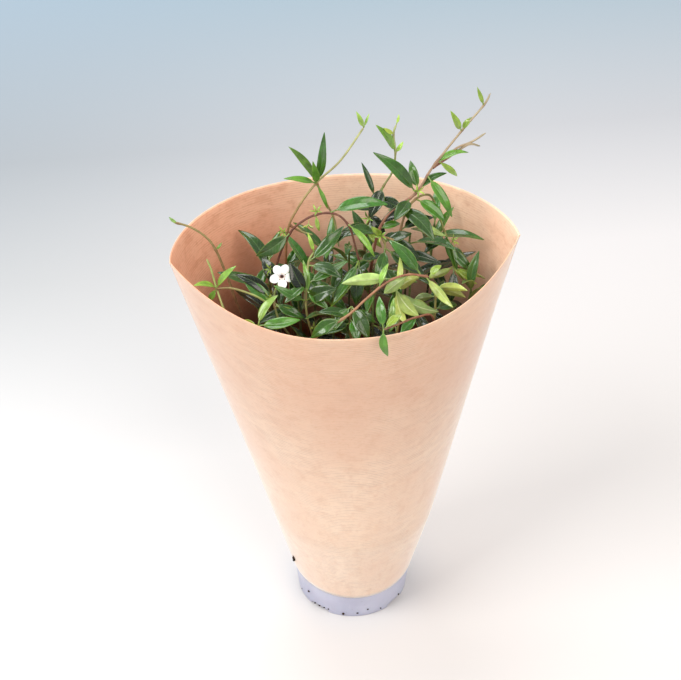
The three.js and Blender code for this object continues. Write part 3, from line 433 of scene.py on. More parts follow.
# The stems repeat the part's own: a route of points from its hole in the soil, joined by a smooth
# curve, twigs that leave it at one of its points, and blades written as the place on the route, the
# reach in x, y and z, the width, the roll and the tone of its green, from 0, dark and grown, to 1, young
# and lime. bark and young are the stem's colours at its foot and its tip.
shoots = [
    dict(name="stem_runner_left", root=(-34, 6), thick=4, leafyTo=235,
         bark="#6B452F", young="#8A7C4A",
         route=[(-44, 4, 160), (-66, 2, 240), (-85, 0, 295), (-93, 4, 324), (-101, 10, 348),
                (-108, 14, 358), (-119, 18, 365), (-131, 20, 369)],
         blades=[(8.7, -6, 3, 4, 3, 0, 0.8), (6, 5, 2, 5, 2.5, 0, 0.8)]),
    dict(name="stem_sprig_left", root=(-24, -20), thick=2.2, leafyTo=262,
         bark="#7D6440", young="#A3B368",
         route=[(-40, -24, 160), (-66, -30, 240), (-90, -34, 298), (-98, -28, 318),
                (-103, -15, 332), (-106, -11, 346), (-109, -10, 356)],
         twigs=[(6, [(-92, -19, 334), (-76, -22, 328), (-64, -20, 316)])],
         blades=[(6, 14, -3, 22, 7, -30, 0.75), (6, -17, -7, 10, 6, 30, 0.7),
                 (6, -9, -9, -6, 6, 20, 0.6)]),
    dict(name="stem_tall_left", root=(-24, 26), thick=2.4, leafyTo=300,
         bark="#93633F", young="#B2B57A",
         route=[(-36, 34, 180), (-46, 36, 280), (-46, 30, 341), (-38, 30, 365), (-24, 30, 387),
                (-6, 30, 406), (11, 30, 434)],
         twigs=[(6, [(-17, 32, 368), (-10, 35, 348), (-6, 40, 318)]),
                (4.25, [(-35, 34, 340), (-26, 38, 333)])],
         blades=[(6, 6, -2, 47, 9, -20, 0.5), (6, -20, 4, 32, 8, 25, 0.6),
                 (6, -24, -8, 13, 7, 30, 0.5), (6, -4, -15, 31, 7, 0, 0.6),
                 (6, 8, -4, -22, 4, 0, 0.6), (3.4, 10, 8, 11, 8, 0, 0.3),
                 (8, -5, 0, 14, 5, 20, 0.85), (8, 4, 2, 10, 2.5, 0, 0.9)]),
    dict(name="stem_arch", root=(-10, 6), thick=2.4, leafyTo=290,
         bark="#5E3528", young="#744A3A",
         route=[(-34, 10, 180), (-54, 14, 270), (-57, 12, 320), (-47, 10, 356), (-35, 8, 371),
                (-22, 5, 378), (-11, 4, 376), (-3, 2, 366), (1, 0, 350), (4, -2, 336)],
         blades=[(7.4, 43, -1, 6, 13, -22, 0.42), (8.8, 18, -18, -19, 6, 0, 0.7),
                 (5.1, -26, -8, -13, 13, -10, 0.12), (3.7, -8, 15, 16, 13, 0, 0),
                 (10.9, -24, -20, -27, 9, 0, 0.55), (11, -5, -20, -25, 14, 0, 0.12),
                 (11, -23, -28, -15, 10, 30, 0.3), (11, 20, 10, -2, 10, -30, 0.1),
                 (6.6, 2, -5, -12, 4, 0, 0.9)]),
    dict(name="stem_tall_right", root=(14, 12), thick=3, leafyTo=300,
         bark="#8C5A44", young="#AB9E80",
         route=[(12, 10, 180), (12, 12, 270), (22, 20, 348), (51, 34, 368), (64, 40, 386),
                (86, 46, 413), (102, 48, 433), (107, 50, 442)],
         twigs=[(6, [(72, 45, 387), (83, 48, 396), (95, 52, 398), (106, 55, 403)]),
                (6, [(76, 46, 389), (92, 50, 397), (102, 54, 392)])],
         blades=[(5, -32, 4, 39, 13, 20, 0.35), (4.7, -20, -8, -12, 9, 0, 0.02),
                 (5.7, 17, -22, -23, 10, -20, 0.35), (6.2, 17, 2, -17, 7, -30, 0.75),
                 (4.5, 26, -21, -20, 15, -20, 0.12), (3.5, 35, -10, -7, 10, -20, 0.55),
                 (4, 17, 1, 4, 8, -20, 0.4), (5.1, -4, 15, 17, 9, 0, 0.25),
                 (5.1, 22, 6, 10, 8, -30, 0.25), (6.1, 26, 6, 6, 7, -30, 0.5),
                 (7, -9, -2, 20, 7, 20, 0.7), (7, 8, 3, 10, 6, -30, 0.75),
                 (8, -5, 2, 15, 4, 0, 0.85), (4.8, -16, -12, -16, 13, 20, 0.1),
                 (3.9, -24, -4, 10, 11, 30, 0.2), (3.6, -20, -12, -6, 13, 20, 0.15)]),
    dict(name="stem_droop_right", root=(26, 2), thick=2.4, leafyTo=290,
         bark="#7E5036", young="#8E9A58",
         route=[(32, 4, 180), (36, 10, 270), (36, 14, 340), (46, 28, 362), (62, 38, 362),
                (70, 36, 341), (76, 30, 321), (79, 20, 306)],
         twigs=[(9, [(90, 16, 305), (102, 10, 300)])],
         blades=[(5.3, 20, -13, -13, 12, -20, 0.3), (4.7, 28, -15, -14, 9, 160, 0.6),
                 (3.8, 31, -9, -6, 10, -10, 0.08), (7.8, 6, -16, -18, 9, -20, 0.15),
                 (7.5, 6, -18, -21, 7, 30, 0.3), (8.1, 18, -15, -15, 10, -10, 0.3),
                 (9, -20, -3, -6, 7, 160, 0.95), (9, 21, -8, -6, 4, 0, 1),
                 (9, 17, -11, -10, 4, 0, 1), (9, -7, -19, -23, 10, 10, 0.1),
                 (8, 14, -8, -18, 10, -20, 0.15), (8.5, 9, -12, -16, 4, 0, 0.9),
                 (4, -10, 12, -4, 12, 30, 0.1), (4.2, 26, 8, 4, 12, -30, 0.1),
                 (7.6, -18, -12, -8, 10, 30, 0.2)]),
    dict(name="stem_front_thick", root=(-18, -34), thick=3.2, leafyTo=270,
         bark="#A5855E", young="#945C46",
         route=[(-32, -42, 160), (-44, -50, 240), (-46, -56, 292), (-35, -60, 316),
                (-11, -55, 330), (3, -48, 338), (20, -40, 346), (36, -34, 346), (52, -30, 339)],
         blades=[(9.8, 18, -17, -18, 9, 160, 0.9), (8.2, -37, 2, -2, 12, 160, 0.85),
                 (5.8, -24, -6, -11, 12, 0, 0.25), (9, -20, -12, -6, 12, 165, 0.5),
                 (7.6, 8, 10, 14, 6, -20, 0.8), (10, 10, 8, 4, 7, -20, 0.8),
                 (9.6, -21, 20, 20, 12, -20, 0.15)]),
    dict(name="stem_pale_right", root=(14, -18), thick=2.2, leafyTo=300,
         bark="#A8875A", young="#A9B268",
         route=[(18, -26, 180), (24, -32, 260), (30, -36, 312), (27, -34, 332)],
         blades=[(5, 18, 5, 8, 11, -160, 0.6), (5, 15, -14, -15, 13, 165, 0.65),
                 (5, 32, -15, -12, 12, 160, 0.4), (5, 5, -17, -19, 10, 165, 0.6),
                 (5, 5, 16, 19, 6, 160, 0.95), (4.4, 26, -8, -10, 12, -160, 0.3),
                 (4.2, -10, -14, -12, 9, 10, 0.4)]),
    dict(name="stem_pale_hooked", root=(34, -14), thick=2.2, leafyTo=296,
         bark="#A98A5E", young="#B1BA70",
         route=[(46, -18, 180), (56, -22, 260), (58, -24, 315), (54, -28, 330)],
         blades=[(4.3, 24, 2, -12, 9, -160, 0.7), (4.6, 9, -4, -7, 7, -20, 0.7),
                 (4, -14, -10, 6, 9, 150, 0.5), (3.7, 18, 8, -4, 10, -20, 0.2),
                 (4.5, 24, -8, 2, 9, -150, 0.6)]),
    dict(name="stem_over_rim", root=(26, -26), thick=2.2, leafyTo=280,
         bark="#7E4A38", young="#8E6248",
         route=[(38, -34, 180), (53, -42, 270), (53, -45, 312), (40, -54, 322), (24, -64, 325),
                (12, -74, 330)],
         blades=[(7, 2, -9, -19, 8, 10, 0.62), (7, -1, 16, 18, 9, 0, 0.25),
                 (6.5, 4, 13, 16, 6, 0, 0.8), (6.9, 13, 5, 8, 8, -20, 0.8),
                 (5, -14, -10, -8, 10, 30, 0.4)]),
    dict(name="stem_flower", root=(-12, -16), thick=2.2, leafyTo=285,
         bark="#6E4A33", young="#7E8E4E",
         route=[(-26, -14, 180), (-42, -14, 260), (-58, -18, 300), (-60, -8, 316), (-53, 2, 324)],
         calyxes=[(6, -0.095, -0.756, 0.648)],
         blades=[(4.6, -22, 16, 15, 13, 15, 0.22), (4.8, -27, 15, 14, 11, 0, 0),
                 (4.5, 19, -8, -6, 4, 0, 0.8), (4.6, 21, -10, -8, 10, -20, 0.35),
                 (4, -14, -8, -6, 9, 20, 0.3)]),
    dict(name="stem_low_left", root=(-30, -28), thick=2.4, leafyTo=290,
         bark="#8A6844", young="#A8B56A",
         route=[(-44, -36, 170), (-62, -44, 250), (-74, -48, 300), (-76, -47, 320)],
         blades=[(5, 16, 13, 17, 9, -30, 0.9), (5, 31, -1, 3, 12, -30, 0.35),
                 (5, -19, 5, 3, 7, 20, 0.9), (4.4, 14, -4, 6, 5, 0, 0.8)]),
    dict(name="stem_left_middle", root=(-2, -22), thick=2.2, leafyTo=290,
         bark="#6C4630", young="#95A45C",
         route=[(-14, -26, 180), (-30, -28, 270), (-38, -24, 310), (-36, -12, 332),
                (-33, -2, 342), (-26, 4, 346)],
         blades=[(5.8, 28, 14, 20, 12, -20, 0.3), (6.7, 28, 7, 12, 12, -20, 0),
                 (4.5, -10, 16, 18, 13, 0, 0), (4.3, 25, 3, 8, 15, -10, 0.18),
                 (4.3, -24, 11, 9, 9, 20, 0.5), (4.8, 32, 7, 13, 10, -20, 0.4),
                 (4.4, 0, 18, 21, 6, 0, 0.6), (4.6, 16, -10, -12, 9, -20, 0.3),
                 (6.6, -4, 6, 14, 4, 0, 0.9), (5.6, 24, -8, -8, 12, -20, 0.15),
                 (4.8, -18, -12, -6, 10, 30, 0.3)]),
    dict(name="stem_middle", root=(6, 2), thick=2.2, leafyTo=296,
         bark="#8D6B47", young="#9DA562",
         route=[(4, -4, 180), (8, -8, 270), (18, -6, 320), (24, 4, 342), (22, 8, 350)],
         twigs=[(6, [(30, 4, 349), (36, 6, 341), (35, -2, 336)])],
         blades=[(5, 29, -10, -20, 14, -25, 0.1), (5.7, 26, -12, -11, 11, -10, 0.05),
                 (3, 3, 18, 22, 12, 0, 0.4), (4.4, 9, -18, -21, 12, -10, 0.3),
                 (4, -18, -8, 4, 11, 30, 0.2), (5.4, 14, 14, -8, 10, -20, 0.1),
                 (5, -10, -22, -14, 11, 0, 0.25), (6, -8, -6, 14, 6, 0, 0.8)]),
    dict(name="stem_hanging_front", root=(2, -42), thick=2.2, leafyTo=290,
         bark="#7A5236", young="#8C9A56",
         route=[(2, -44, 180), (-4, -44, 270), (-8, -42, 306), (-6, -36, 322)],
         blades=[(3.6, 7, 10, 12, 8, 160, 0.8), (3.7, -11, 15, 16, 12, 0, 0.05),
                 (5, 10, -20, -16, 13, 0, 0.25), (5, -14, -12, -12, 10, 20, 0.3),
                 (4.4, 4, -16, -10, 10, 0, 0.4), (4.8, 18, -6, -8, 9, -20, 0.2),
                 (4.2, -20, -8, -2, 10, 30, 0.15), (4.5, -24, 4, 4, 11, 40, 0.15)]),
    dict(name="stem_back", root=(4, 30), thick=2.2, leafyTo=310,
         bark="#7C5B3F", young="#A9B576",
         route=[(8, 40, 180), (12, 42, 280), (18, 44, 345), (28, 43, 370), (34, 40, 385),
                (36, 40, 402), (34, 38, 420), (36, 38, 429)],
         blades=[(4.4, -8, 18, 21, 6, 20, 0.1), (4, 10, -12, -12, 11, 0, 0),
                 (3.8, 9, -13, -14, 7, 0, 0.8), (7, -15, -4, 29, 8, 20, 0.55),
                 (8, -8, -2, 8, 4, 0, 0.9), (9, 2, 2, 7, 2.5, 0, 0.95), (7, 6, 2, 8, 4, 0, 0.85),
                 (5, -12, -14, -18, 14, 20, 0.05), (4.2, -16, -10, 6, 13, 30, 0.05),
                 (3.4, -7, 20, 24, 11, 10, 0.15), (4.4, 20, -12, -6, 12, -20, 0.1),
                 (3.8, -26, -8, -4, 12, 20, 0.15)]),
]

# shorter stems inside the sleeve: bends are shares of the way out and the heights they come at
innerLook = dict(thick=2.4, bark="#3A2A20", young="#5F7438", bends=((0.35, 160), (0.75, 225)))
innerStems = [  # root and top
    ((-41, -8), (-61, 34, 314)), ((34, 20), (68, 46, 330)), ((-8, 42), (-14, 46, 318)),
    ((-1, 14), (0, 26, 334)), ((-18, 14), (-28, 18, 318)), ((40, -22), (78, -22, 298)),
    ((-10, -6), (-18, -18, 318)), ((42, 2), (90, 2, 298)), ((22, 29), (47, 31, 334)),
    ((8, -26), (12, -22, 324)), ((22, -12), (42, -8, 328)), ((-20, -4), (-42, 2, 312)),
]

plant = dict(
    soilTop=92, rootDepth=12, stemTip=1.5, stationGap=27, stationCrowd=1.35,
    clearGap=3.7, wallGap=4, dotGap=4, lookAround=5,
    stemSides=12, stationStep=1.7, knuckle=0.32, knuckleReach=1.9,
    bladeStations=26, bladeFold=0.28, bladeBow=0.07, petioleWidth=1.2, petioleShare=0.12,
    innerPairs=(3, 11, 21, 33, 48), outerPairs=(8, 36), youngDrop=8, deepest=60,
    pairYoung=26, pairGrown=32, pairSpread=12, pairWidth=0.3, pairRoll=40, pairTone=0.34,
    pairTurn=1.2, turnSpread=0.4, oppositeSpread=0.5, liftSpread=0.75, liftDown=0.25,
    flowerTube=12, calyxGap=1.9,
)
sightLine = np.array([-0.095, -0.756, 0.648])  # a shown blade is bent clear along the line of sight
upward = np.array([0.0, 0.0, 1.0])


def turnedAbout(v, axis, angle):  # v turned about a unit axis, angle in radians
    return (v * np.cos(angle) + np.cross(axis, v) * np.sin(angle)
            + axis * np.dot(axis, v) * (1 - np.cos(angle)))


def squareTo(axis):  # the way nearest to +X that is square to this axis
    return unit(np.array([1.0, 0, 0]) - axis * axis[0])


class Route:
    # A smooth curve through the route's points: on each stretch a cubic whose slope at a point is half
    # the step between its neighbours, with one more point set beyond each end in a straight line

    def __init__(self, points):
        points = np.array(points, dtype=float)
        self.last = len(points) - 1
        self.held = np.vstack([2 * points[0] - points[1], points, 2 * points[-1] - points[-2]])
        self.shares = np.linspace(0, 1, 201)
        steps = np.linalg.norm(np.diff(self.at(self.shares), axis=0), axis=1)
        self.run = np.concatenate([[0], np.cumsum(steps)])
        self.length = self.run[-1]

    def at(self, share):  # the share counts the route's points, not its length
        place = np.atleast_1d(share) * self.last
        i = np.minimum(place.astype(int), self.last - 1)
        w = (place - i)[:, None]
        before, start, end, after = (self.held[i + k] for k in range(4))
        out, back = 0.5 * (end - before), 0.5 * (after - start)
        return (start + out * w + (-3 * start + 3 * end - 2 * out - back) * w ** 2
                + (2 * start - 2 * end + out + back) * w ** 3)

    def point(self, number):  # the place at one of its points, or part of the way to the next
        return self.at(number / self.last)[0]

    def along(self, share):  # the share of its length
        return self.at(np.interp(np.atleast_1d(share) * self.length, self.run, self.shares))

    def runAt(self, share):
        return np.interp(share, self.shares, self.run)

    def dots(self):  # points along the stem that keep blades off it
        count = int(np.ceil(self.length / plant["dotGap"]))
        return self.at(np.arange(count + 1) / count)


def stationsOf(route):  # the straight stretches of the part's own faceted stem
    steps = max(2, int(np.floor(route.length / plant["stationGap"] + 0.5)))
    return route.along(1 - (1 - np.arange(steps + 1) / steps) ** plant["stationCrowd"])


def nearestOn(stations, place):  # the nearest place on the stretches between a stem's stations
    start, step = stations[:-1], np.diff(stations, axis=0)
    share = np.clip(np.einsum("ij,ij->i", place - start, step) / np.einsum("ij,ij->i", step, step), 0, 1)
    found = start + share[:, None] * step
    return found[np.linalg.norm(found - place, axis=1).argmin()]


def bladeFrame(reach, lean, roll):  # a blade's side and its upper face, which looks at the lean
    way = unit(reach)
    side = turnedAbout(unit(np.cross(way, lean)), way, np.radians(roll))
    return side, np.cross(side, way)


def halfWidth(width, t):
    # half the blade's width: a slim petiole, then a sine hump pushed towards the stem, with a long tip
    u = np.clip((t - plant["petioleShare"]) / (1 - plant["petioleShare"]), 0, 1)
    return np.where(t <= plant["petioleShare"], plant["petioleWidth"] / 2,
                    (width / 2) * np.abs(np.sin(np.pi * u ** 0.8)) ** 1.1)


def bladeDots(base, reach, lean, width, roll):  # points spread over a blade, to keep it clear of others
    side, face = bladeFrame(reach, lean, roll)
    t = np.arange(1, 9)[:, None] / 8
    across = np.array([-1, -0.5, 0, 0.5, 1])[None, :]
    half = halfWidth(width, np.minimum(t, 0.999))
    bow = plant["bladeBow"] * np.linalg.norm(reach) * 4 * t * (1 - t)
    lift = bow + np.abs(across) * plant["bladeFold"] * half
    return (base + reach * t[..., None] + side * (across * half)[..., None]
            + face * lift[..., None]).reshape(-1, 3)


taken = dict(points=np.zeros((0, 3)), owner=np.zeros(0, dtype=int), gap=np.zeros(0))


def take(owner, points, gap):  # keeps these points' place: nothing of another owner comes within the gap
    taken["points"] = np.vstack([taken["points"], points])
    taken["owner"] = np.concatenate([taken["owner"], np.full(len(points), owner)])
    taken["gap"] = np.concatenate([taken["gap"], np.full(len(points), float(gap))])


def isClear(owner, points):  # whether these points keep off all that other owners have taken
    low, high = points.min(0) - plant["lookAround"], points.max(0) + plant["lookAround"]
    near = (taken["owner"] != owner) & ((taken["points"] > low) & (taken["points"] < high)).all(1)
    away = ((points[:, None] - taken["points"][near][None]) ** 2).sum(-1)
    return bool((away > taken["gap"][near] ** 2).all())


def setBlade(shoot, run, base, reach, lean, width, roll, tone, tries):
    # set a blade, bent by the first of the tries that is clear, or leave it out
    for bend in tries:
        bent = unit(reach + bend) * np.linalg.norm(reach)
        points = bladeDots(base, bent, lean, width, roll)
        if isClear(shoot["owner"], points):
            take(shoot["owner"], points, plant["clearGap"])
            side, face = bladeFrame(bent, lean, roll)
            shoot["set"].append(dict(run=run, base=base, reach=bent, side=side, face=face, width=width,
                                     tone=tone))
            return


def drawFrom(seed):  # a repeatable draw between 0 and 1, the same as the part's own
    state = [seed]

    def draw():
        state[0] = state[0] * 16807 % 2147483647
        return state[0] / 2147483647
    return draw


for number, (root, top) in enumerate(innerStems, 1):
    bends = [(lerp(root[0], top[0], share), lerp(root[1], top[1], share), height)
             for share, height in innerLook["bends"]]
    shoots.append(dict(name=f"stem_inner_{number}", root=root, thick=innerLook["thick"], leafyTo=top[2] + 1,
                       bark=innerLook["bark"], young=innerLook["young"], route=[*bends, top], blades=[],
                       pairs=plant["innerPairs"]))

for owner, shoot in enumerate(shoots):
    x, y = shoot["root"]
    foot, neck = plant["soilTop"] - plant["rootDepth"], plant["soilTop"] + 10
    shoot["owner"], shoot["set"] = owner, []
    shoot["main"] = Route([(x, y, foot), (x, y, neck), *shoot["route"]])
    stations = [stationsOf(shoot["main"])]
    shoot["branches"] = []
    for leaves, route in shoot.get("twigs", []):
        place = shoot["main"].point(leaves)
        forks = [nearestOn(s, place) for s in stations]
        fork = min(forks, key=lambda f: np.linalg.norm(f - place))
        branch = Route([fork, *route])
        stations.append(stationsOf(branch))
        shoot["branches"].append(branch)

# the sleeve's own dimensions, the same as the part's
sleeve = dict(
    potBase=44, potFlare=0.115, fitGap=0.35, paper=0.8, hemHeight=26, hemRise=5, ringHeight=94,
    ringHalfWidth=65.5, ringHalfDepth=61.4, mouthHalfWidth=130, mouthFront=80, mouthBack=81.5,
    shiftX=-5, shiftY=8, frontHeight=321, backHeight=348.5, creaseHeight=341.5,
    frontAcross=2.55, frontDepth=1.11, backAcross=2.5, backDepth=1.73,
)


def mouthPoint(angle):
    # two bowed panels that meet in the creases: depth = (1 - share across to a power) to a power
    s, c = sleeve, np.cos(angle)
    share, isBack = np.abs(c), np.sin(angle) >= 0
    panel = [np.where(isBack, back, front) for back, front in (
        (s["backAcross"], s["frontAcross"]), (s["backDepth"], s["frontDepth"]),
        (s["mouthBack"], -s["mouthFront"]), (s["backHeight"], s["frontHeight"]))]
    power, root, depth, middle = panel
    bow = np.maximum(0, 1 - share ** power) ** (1 / root)
    return np.stack([s["shiftX"] + s["mouthHalfWidth"] * c, s["shiftY"] + depth * bow,
                     lerp(middle, s["creaseHeight"], share * share)], axis=-1)


def sleevePoint(angle, rise):
    # the sleeve's outside: straight from the hem at rise 0 to the ring round the pot's rim at rise 1,
    # and straight from there to the mouth at rise 2
    s = sleeve
    angle, rise = np.broadcast_arrays(angle, rise)
    height = s["hemHeight"] + s["hemRise"] * np.cos(angle) ** 2
    radius = s["potBase"] + s["potFlare"] * height + s["fitGap"] + s["paper"]
    hem = turned(radius, angle, height)
    ring = np.stack([s["ringHalfWidth"] * np.cos(angle), s["ringHalfDepth"] * np.sin(angle),
                     np.full(angle.shape, float(s["ringHeight"]))], axis=-1)
    low, high = np.clip(rise, 0, 1)[..., None], np.clip(rise - 1, 0, 1)[..., None]
    return np.where(rise[..., None] <= 1, lerp(hem, ring, low), lerp(ring, mouthPoint(angle), high))


# the paper, all the stems and the flower take their places before any blade
paperOwner, flowerOwner = -1, -2
wallAngle, wallRise = np.meshgrid(np.arange(120) / 120 * 2 * np.pi,
                                  np.minimum(0.8 + 0.03 * np.arange(41), 2))
take(paperOwner, sleevePoint(wallAngle, wallRise).reshape(-1, 3), plant["wallGap"])
for shoot in shoots:
    for route in (shoot["main"], *shoot["branches"]):
        take(shoot["owner"], route.dots(), plant["clearGap"])
flowerShoot = next(shoot for shoot in shoots if shoot["name"] == "stem_flower")
calyxAt, *flowerWay = flowerShoot["calyxes"][0]
flowerAxis = unit(np.array(flowerWay))
flowerBase = flowerShoot["main"].point(calyxAt) + flowerAxis * plant["calyxGap"]
flowerSide = squareTo(flowerAxis)
petalDots = []  # points down the flower's tube and over its lobes
for i in range(12):
    spoke = turnedAbout(flowerSide, flowerAxis, i * np.pi / 6)
    for radius in (2, 5, 9):
        depth = plant["flowerTube"] * (1 if radius > 2 else i / 12)
        petalDots.append(flowerBase + flowerAxis * depth + spoke * radius)
take(flowerOwner, np.array(petalDots), plant["clearGap"])

# blades that the photograph shows
sightTries = [sightLine * length for length in (0, 6, -6, 12, -12, 18, -18, 24)]
for shoot in shoots:
    main = shoot["main"]
    for at, x, y, z, width, roll, tone in shoot["blades"]:
        reach = np.array([x, y, z], dtype=float)
        setBlade(shoot, main.runAt(at / main.last), main.point(at), reach, sightLine, width, roll, tone,
                 sightTries)

# opposite pairs below these, each a part of a turn from the last
liftTries = [upward * height for height in (0, 10, -10, 22, -22, 36, 50)]
for shoot in shoots:
    draw, main = drawFrom(1000 + 37 * shoot["owner"]), shoot["main"]
    low = main.along(1 - np.arange(200) / 200)[:, 2] < shoot["leafyTo"]
    start = (int(low.argmax()) if low.any() else -1) / 200 * main.length
    heading = draw() * np.pi
    for drop in shoot.get("pairs", plant["outerPairs"]):
        run = main.length - start - drop
        base = main.along(run / main.length)[0]
        least = plant["pairYoung"] if drop < plant["youngDrop"] else plant["pairGrown"]
        size = least + plant["pairSpread"] * draw()
        lift = plant["liftSpread"] * draw() - plant["liftDown"]
        roll = plant["pairRoll"] * (draw() - 0.5)
        heading += plant["pairTurn"] + plant["turnSpread"] * (draw() - 0.5)
        for turn in (heading, heading + np.pi + plant["oppositeSpread"] * (draw() - 0.5)):
            reach = unit(np.array([np.cos(turn), np.sin(turn), np.tan(lift)])) * size
            setBlade(shoot, run, base, reach, upward, size * plant["pairWidth"], roll,
                     plant["pairTone"] * (1 - drop / plant["deepest"]), liftTries)
print("blades set:", sum(len(shoot["set"]) for shoot in shoots))


# the greens from the oldest leaf to the youngest, above and below; the shape as shares of the leaf's own
# size; how unlike two leaves are, and how much painted shade darkens the leaves below the last pair of
# heights
leafLook = dict(dark="#0C1B06", grown="#42741E", young="#94B044", underDark="#728E44", underYoung="#A9BA62",
                stalk="#7F9448", waver=0.07, curl=0.12, sweep=0.08, slim=0.8, full=0.8, fold=1.7,
                unlike=0.34, deepShade=0.16, deepShadeTo=(255, 330))
acrossBlade = np.array([-1, -0.93, -0.72, -0.44, -0.17, 0, 0.17, 0.44, 0.72, 0.93, 1.0])
aroundBlade = np.concatenate([acrossBlade, acrossBlade[-2:0:-1]])  # over the top and back underneath
sideOfBlade = np.where(np.arange(len(aroundBlade)) < len(acrossBlade), 1.0, -1.0)
sideOfBlade[[0, len(acrossBlade) - 1]] = 0


def leafColour(tone):  # dark grown leaves at tone 0, middle green at 0.5 and lime young ones at 1
    dark, grown, young = (paint(leafLook[key]) for key in ("dark", "grown", "young"))
    t = np.clip(tone, 0, 1)[:, None]
    return np.where(t < 0.5, lerp(dark, grown, t * 2), lerp(grown, young, t * 2 - 1))


def leafHalf(width, t):
    # half the width of the real leaf: the part's own hump a little slimmer, with fuller, rounder flanks
    u = np.clip((t - plant["petioleShare"]) / (1 - plant["petioleShare"]), 0, 1)
    return leafLook["slim"] * width / 2 * np.abs(np.sin(np.pi * u ** 0.8)) ** leafLook["full"]


def bladeRings(base, reach, side, face, width, draw):
    # A blade along t and across s. Middle: a straight reach with a shallow bow, a tip that curls down
    # and a drawn sideways sweep. Across: half the width times s, lifted like an open channel whose
    # bottom is rounded, with a margin that wavers. Thickness: fleshy at the midrib, thin at the
    # margin, with a groove above the midrib and a ridge below; round where it is still petiole.
    t = np.concatenate([np.linspace(0, 0.16, 6), np.linspace(0.2, 0.97, plant["bladeStations"] - 7), [0.995]])
    count, s = len(base), aroundBlade[None, None, :]
    tt, size = t[None, :], np.linalg.norm(reach, axis=1)[:, None]
    phase = draw.uniform(0, 2 * np.pi, (3, count, 1, 1))
    sweep = draw.uniform(-1, 1, (count, 1)) * leafLook["sweep"] * size * np.sin(np.pi * tt)
    leaf = smooth(0.09, 0.2, tt)
    half = leafHalf(width[:, None], np.minimum(tt, 0.999))
    stalk = plant["petioleWidth"] / 2 * np.minimum(1, width[:, None] / 3.5)
    half = np.maximum(np.maximum(half * leaf, stalk * (1 - smooth(0.1, 0.3, tt))), 0.14)
    curl = draw.uniform(-0.2, 1, (count, 1)) * leafLook["curl"] * size * smooth(0.5, 1.05, tt) ** 2
    bow = plant["bladeBow"] * size * 4 * tt * (1 - tt) - curl
    h, l4 = half[..., None], leaf[..., None]
    channel = plant["bladeFold"] * h * leafLook["fold"] * (np.sqrt(s * s + 0.02) - 0.141 - 0.3 * s * s) * l4
    waver = leafLook["waver"] * h * s * s * l4 * np.where(s > 0, np.sin(9.5 * t[None, :, None] + phase[0]),
                                                         np.sin(9.5 * t[None, :, None] + phase[1]))
    rounding = np.sqrt(np.maximum(0, 1 - s * s))
    flesh = lerp(h * rounding, np.minimum(h * 0.5, 0.42) * (0.25 + 0.75 * rounding) * (np.abs(s) < 1), l4)
    rib = np.exp(-(s / 0.12) ** 2) * l4 * (1 - 0.7 * t[None, :, None])
    height = channel + waver + sideOfBlade * flesh + np.where(sideOfBlade > 0, -0.24, -0.34) * rib \
        * np.minimum(1, h / 3)
    middle = base[:, None] + reach[:, None] * tt[..., None] + face[:, None] * bow[..., None] \
        + side[:, None] * sweep[..., None]
    rings = middle[:, :, None] + side[:, None, None] * (h * s)[..., None] \
        + face[:, None, None] * height[..., None]
    return rings, t


def addLeaves(skin, blades, tone, seed):
    draw = np.random.default_rng(seed)
    base, reach, side, face = (np.array([blade[key] for blade in blades])
                               for key in ("base", "reach", "side", "face"))
    width = np.array([blade["width"] for blade in blades], dtype=float)
    rings, t = bladeRings(base, reach, side, face, width, draw)
    # no two leaves are quite alike: each is drawn a little lighter or darker and yellower or bluer
    lighter, yellower = draw.uniform(-leafLook["unlike"], leafLook["unlike"], (2, len(blades), 1))
    own = np.exp(lighter + yellower * np.array([0.4, 0, -0.6]))
    # leaves deep in the sleeve are darkened by painted shade
    middle = (base + reach * 0.5)[:, 2:]
    own = own * lerp(leafLook["deepShade"], 1.0, smooth(*leafLook["deepShadeTo"], middle))
    top = leafColour(tone) * own
    underDark, underYoung = paint(leafLook["underDark"]), paint(leafLook["underYoung"])
    under = own * lerp(underDark, underYoung, np.clip(tone, 0, 1)[:, None])
    upper = ((sideOfBlade + 1) / 2)[None, None, :, None]
    stalk = 1 - smooth(0.06, 0.24, t)[None, :, None, None]
    tint = lerp(under[:, None, None], top[:, None, None], upper)
    tint = lerp(tint, paint(leafLook["stalk"]), 0.75 * stalk)
    skin.addLofts(rings, t, tint, 0)


def stemRings(route, radius, nodes):
    # rings carried along the curve: their side is a fixed direction that the stem never runs along,
    # made square to the way, and the radius swells where leaves are set and closes at the tip
    run = np.linspace(0, route.length, max(8, int(route.length / plant["stationStep"])))
    places = route.along(run / route.length)
    way = unit(np.gradient(places, axis=0))
    choices = unit(np.array([(1, 0, 0), (0, 1, 0), (0, 0, 1), (1, 1, 0), (1, -1, 0), (1, 0, 1), (0, 1, 1)],
                            dtype=float))
    fixed = choices[np.abs(way @ choices.T).max(0).argmin()]
    side = unit(fixed - way * (way @ fixed)[:, None])
    other = np.cross(way, side)
    thick = lerp(radius[0], radius[1], run / route.length)
    for node in nodes:
        thick = thick * (1 + plant["knuckle"] * np.exp(-((run - node) / plant["knuckleReach"]) ** 2))
    rounded = np.sqrt(np.clip((route.length - run) / 2.5, 0.05, 1))
    thick = thick * (1 + 0.05 * np.sin(run * 0.9 + radius[0])) * rounded
    turn = np.arange(plant["stemSides"]) / plant["stemSides"] * 2 * np.pi
    ring = np.cos(turn)[None, :, None] * side[:, None] + np.sin(turn)[None, :, None] * other[:, None]
    return places[:, None] + ring * thick[:, None, None], run


# where the bark turns green as a share of the stem, how dark the painted shade at its foot is and up to which
# heights, and the redder bark at each knuckle
stemLook = dict(youngFrom=0.62, foot=0.2, footShadeTo=(200, 325), knuckle="#6F3F31", knuckleShare=0.4,
                knuckleReach=2.4)


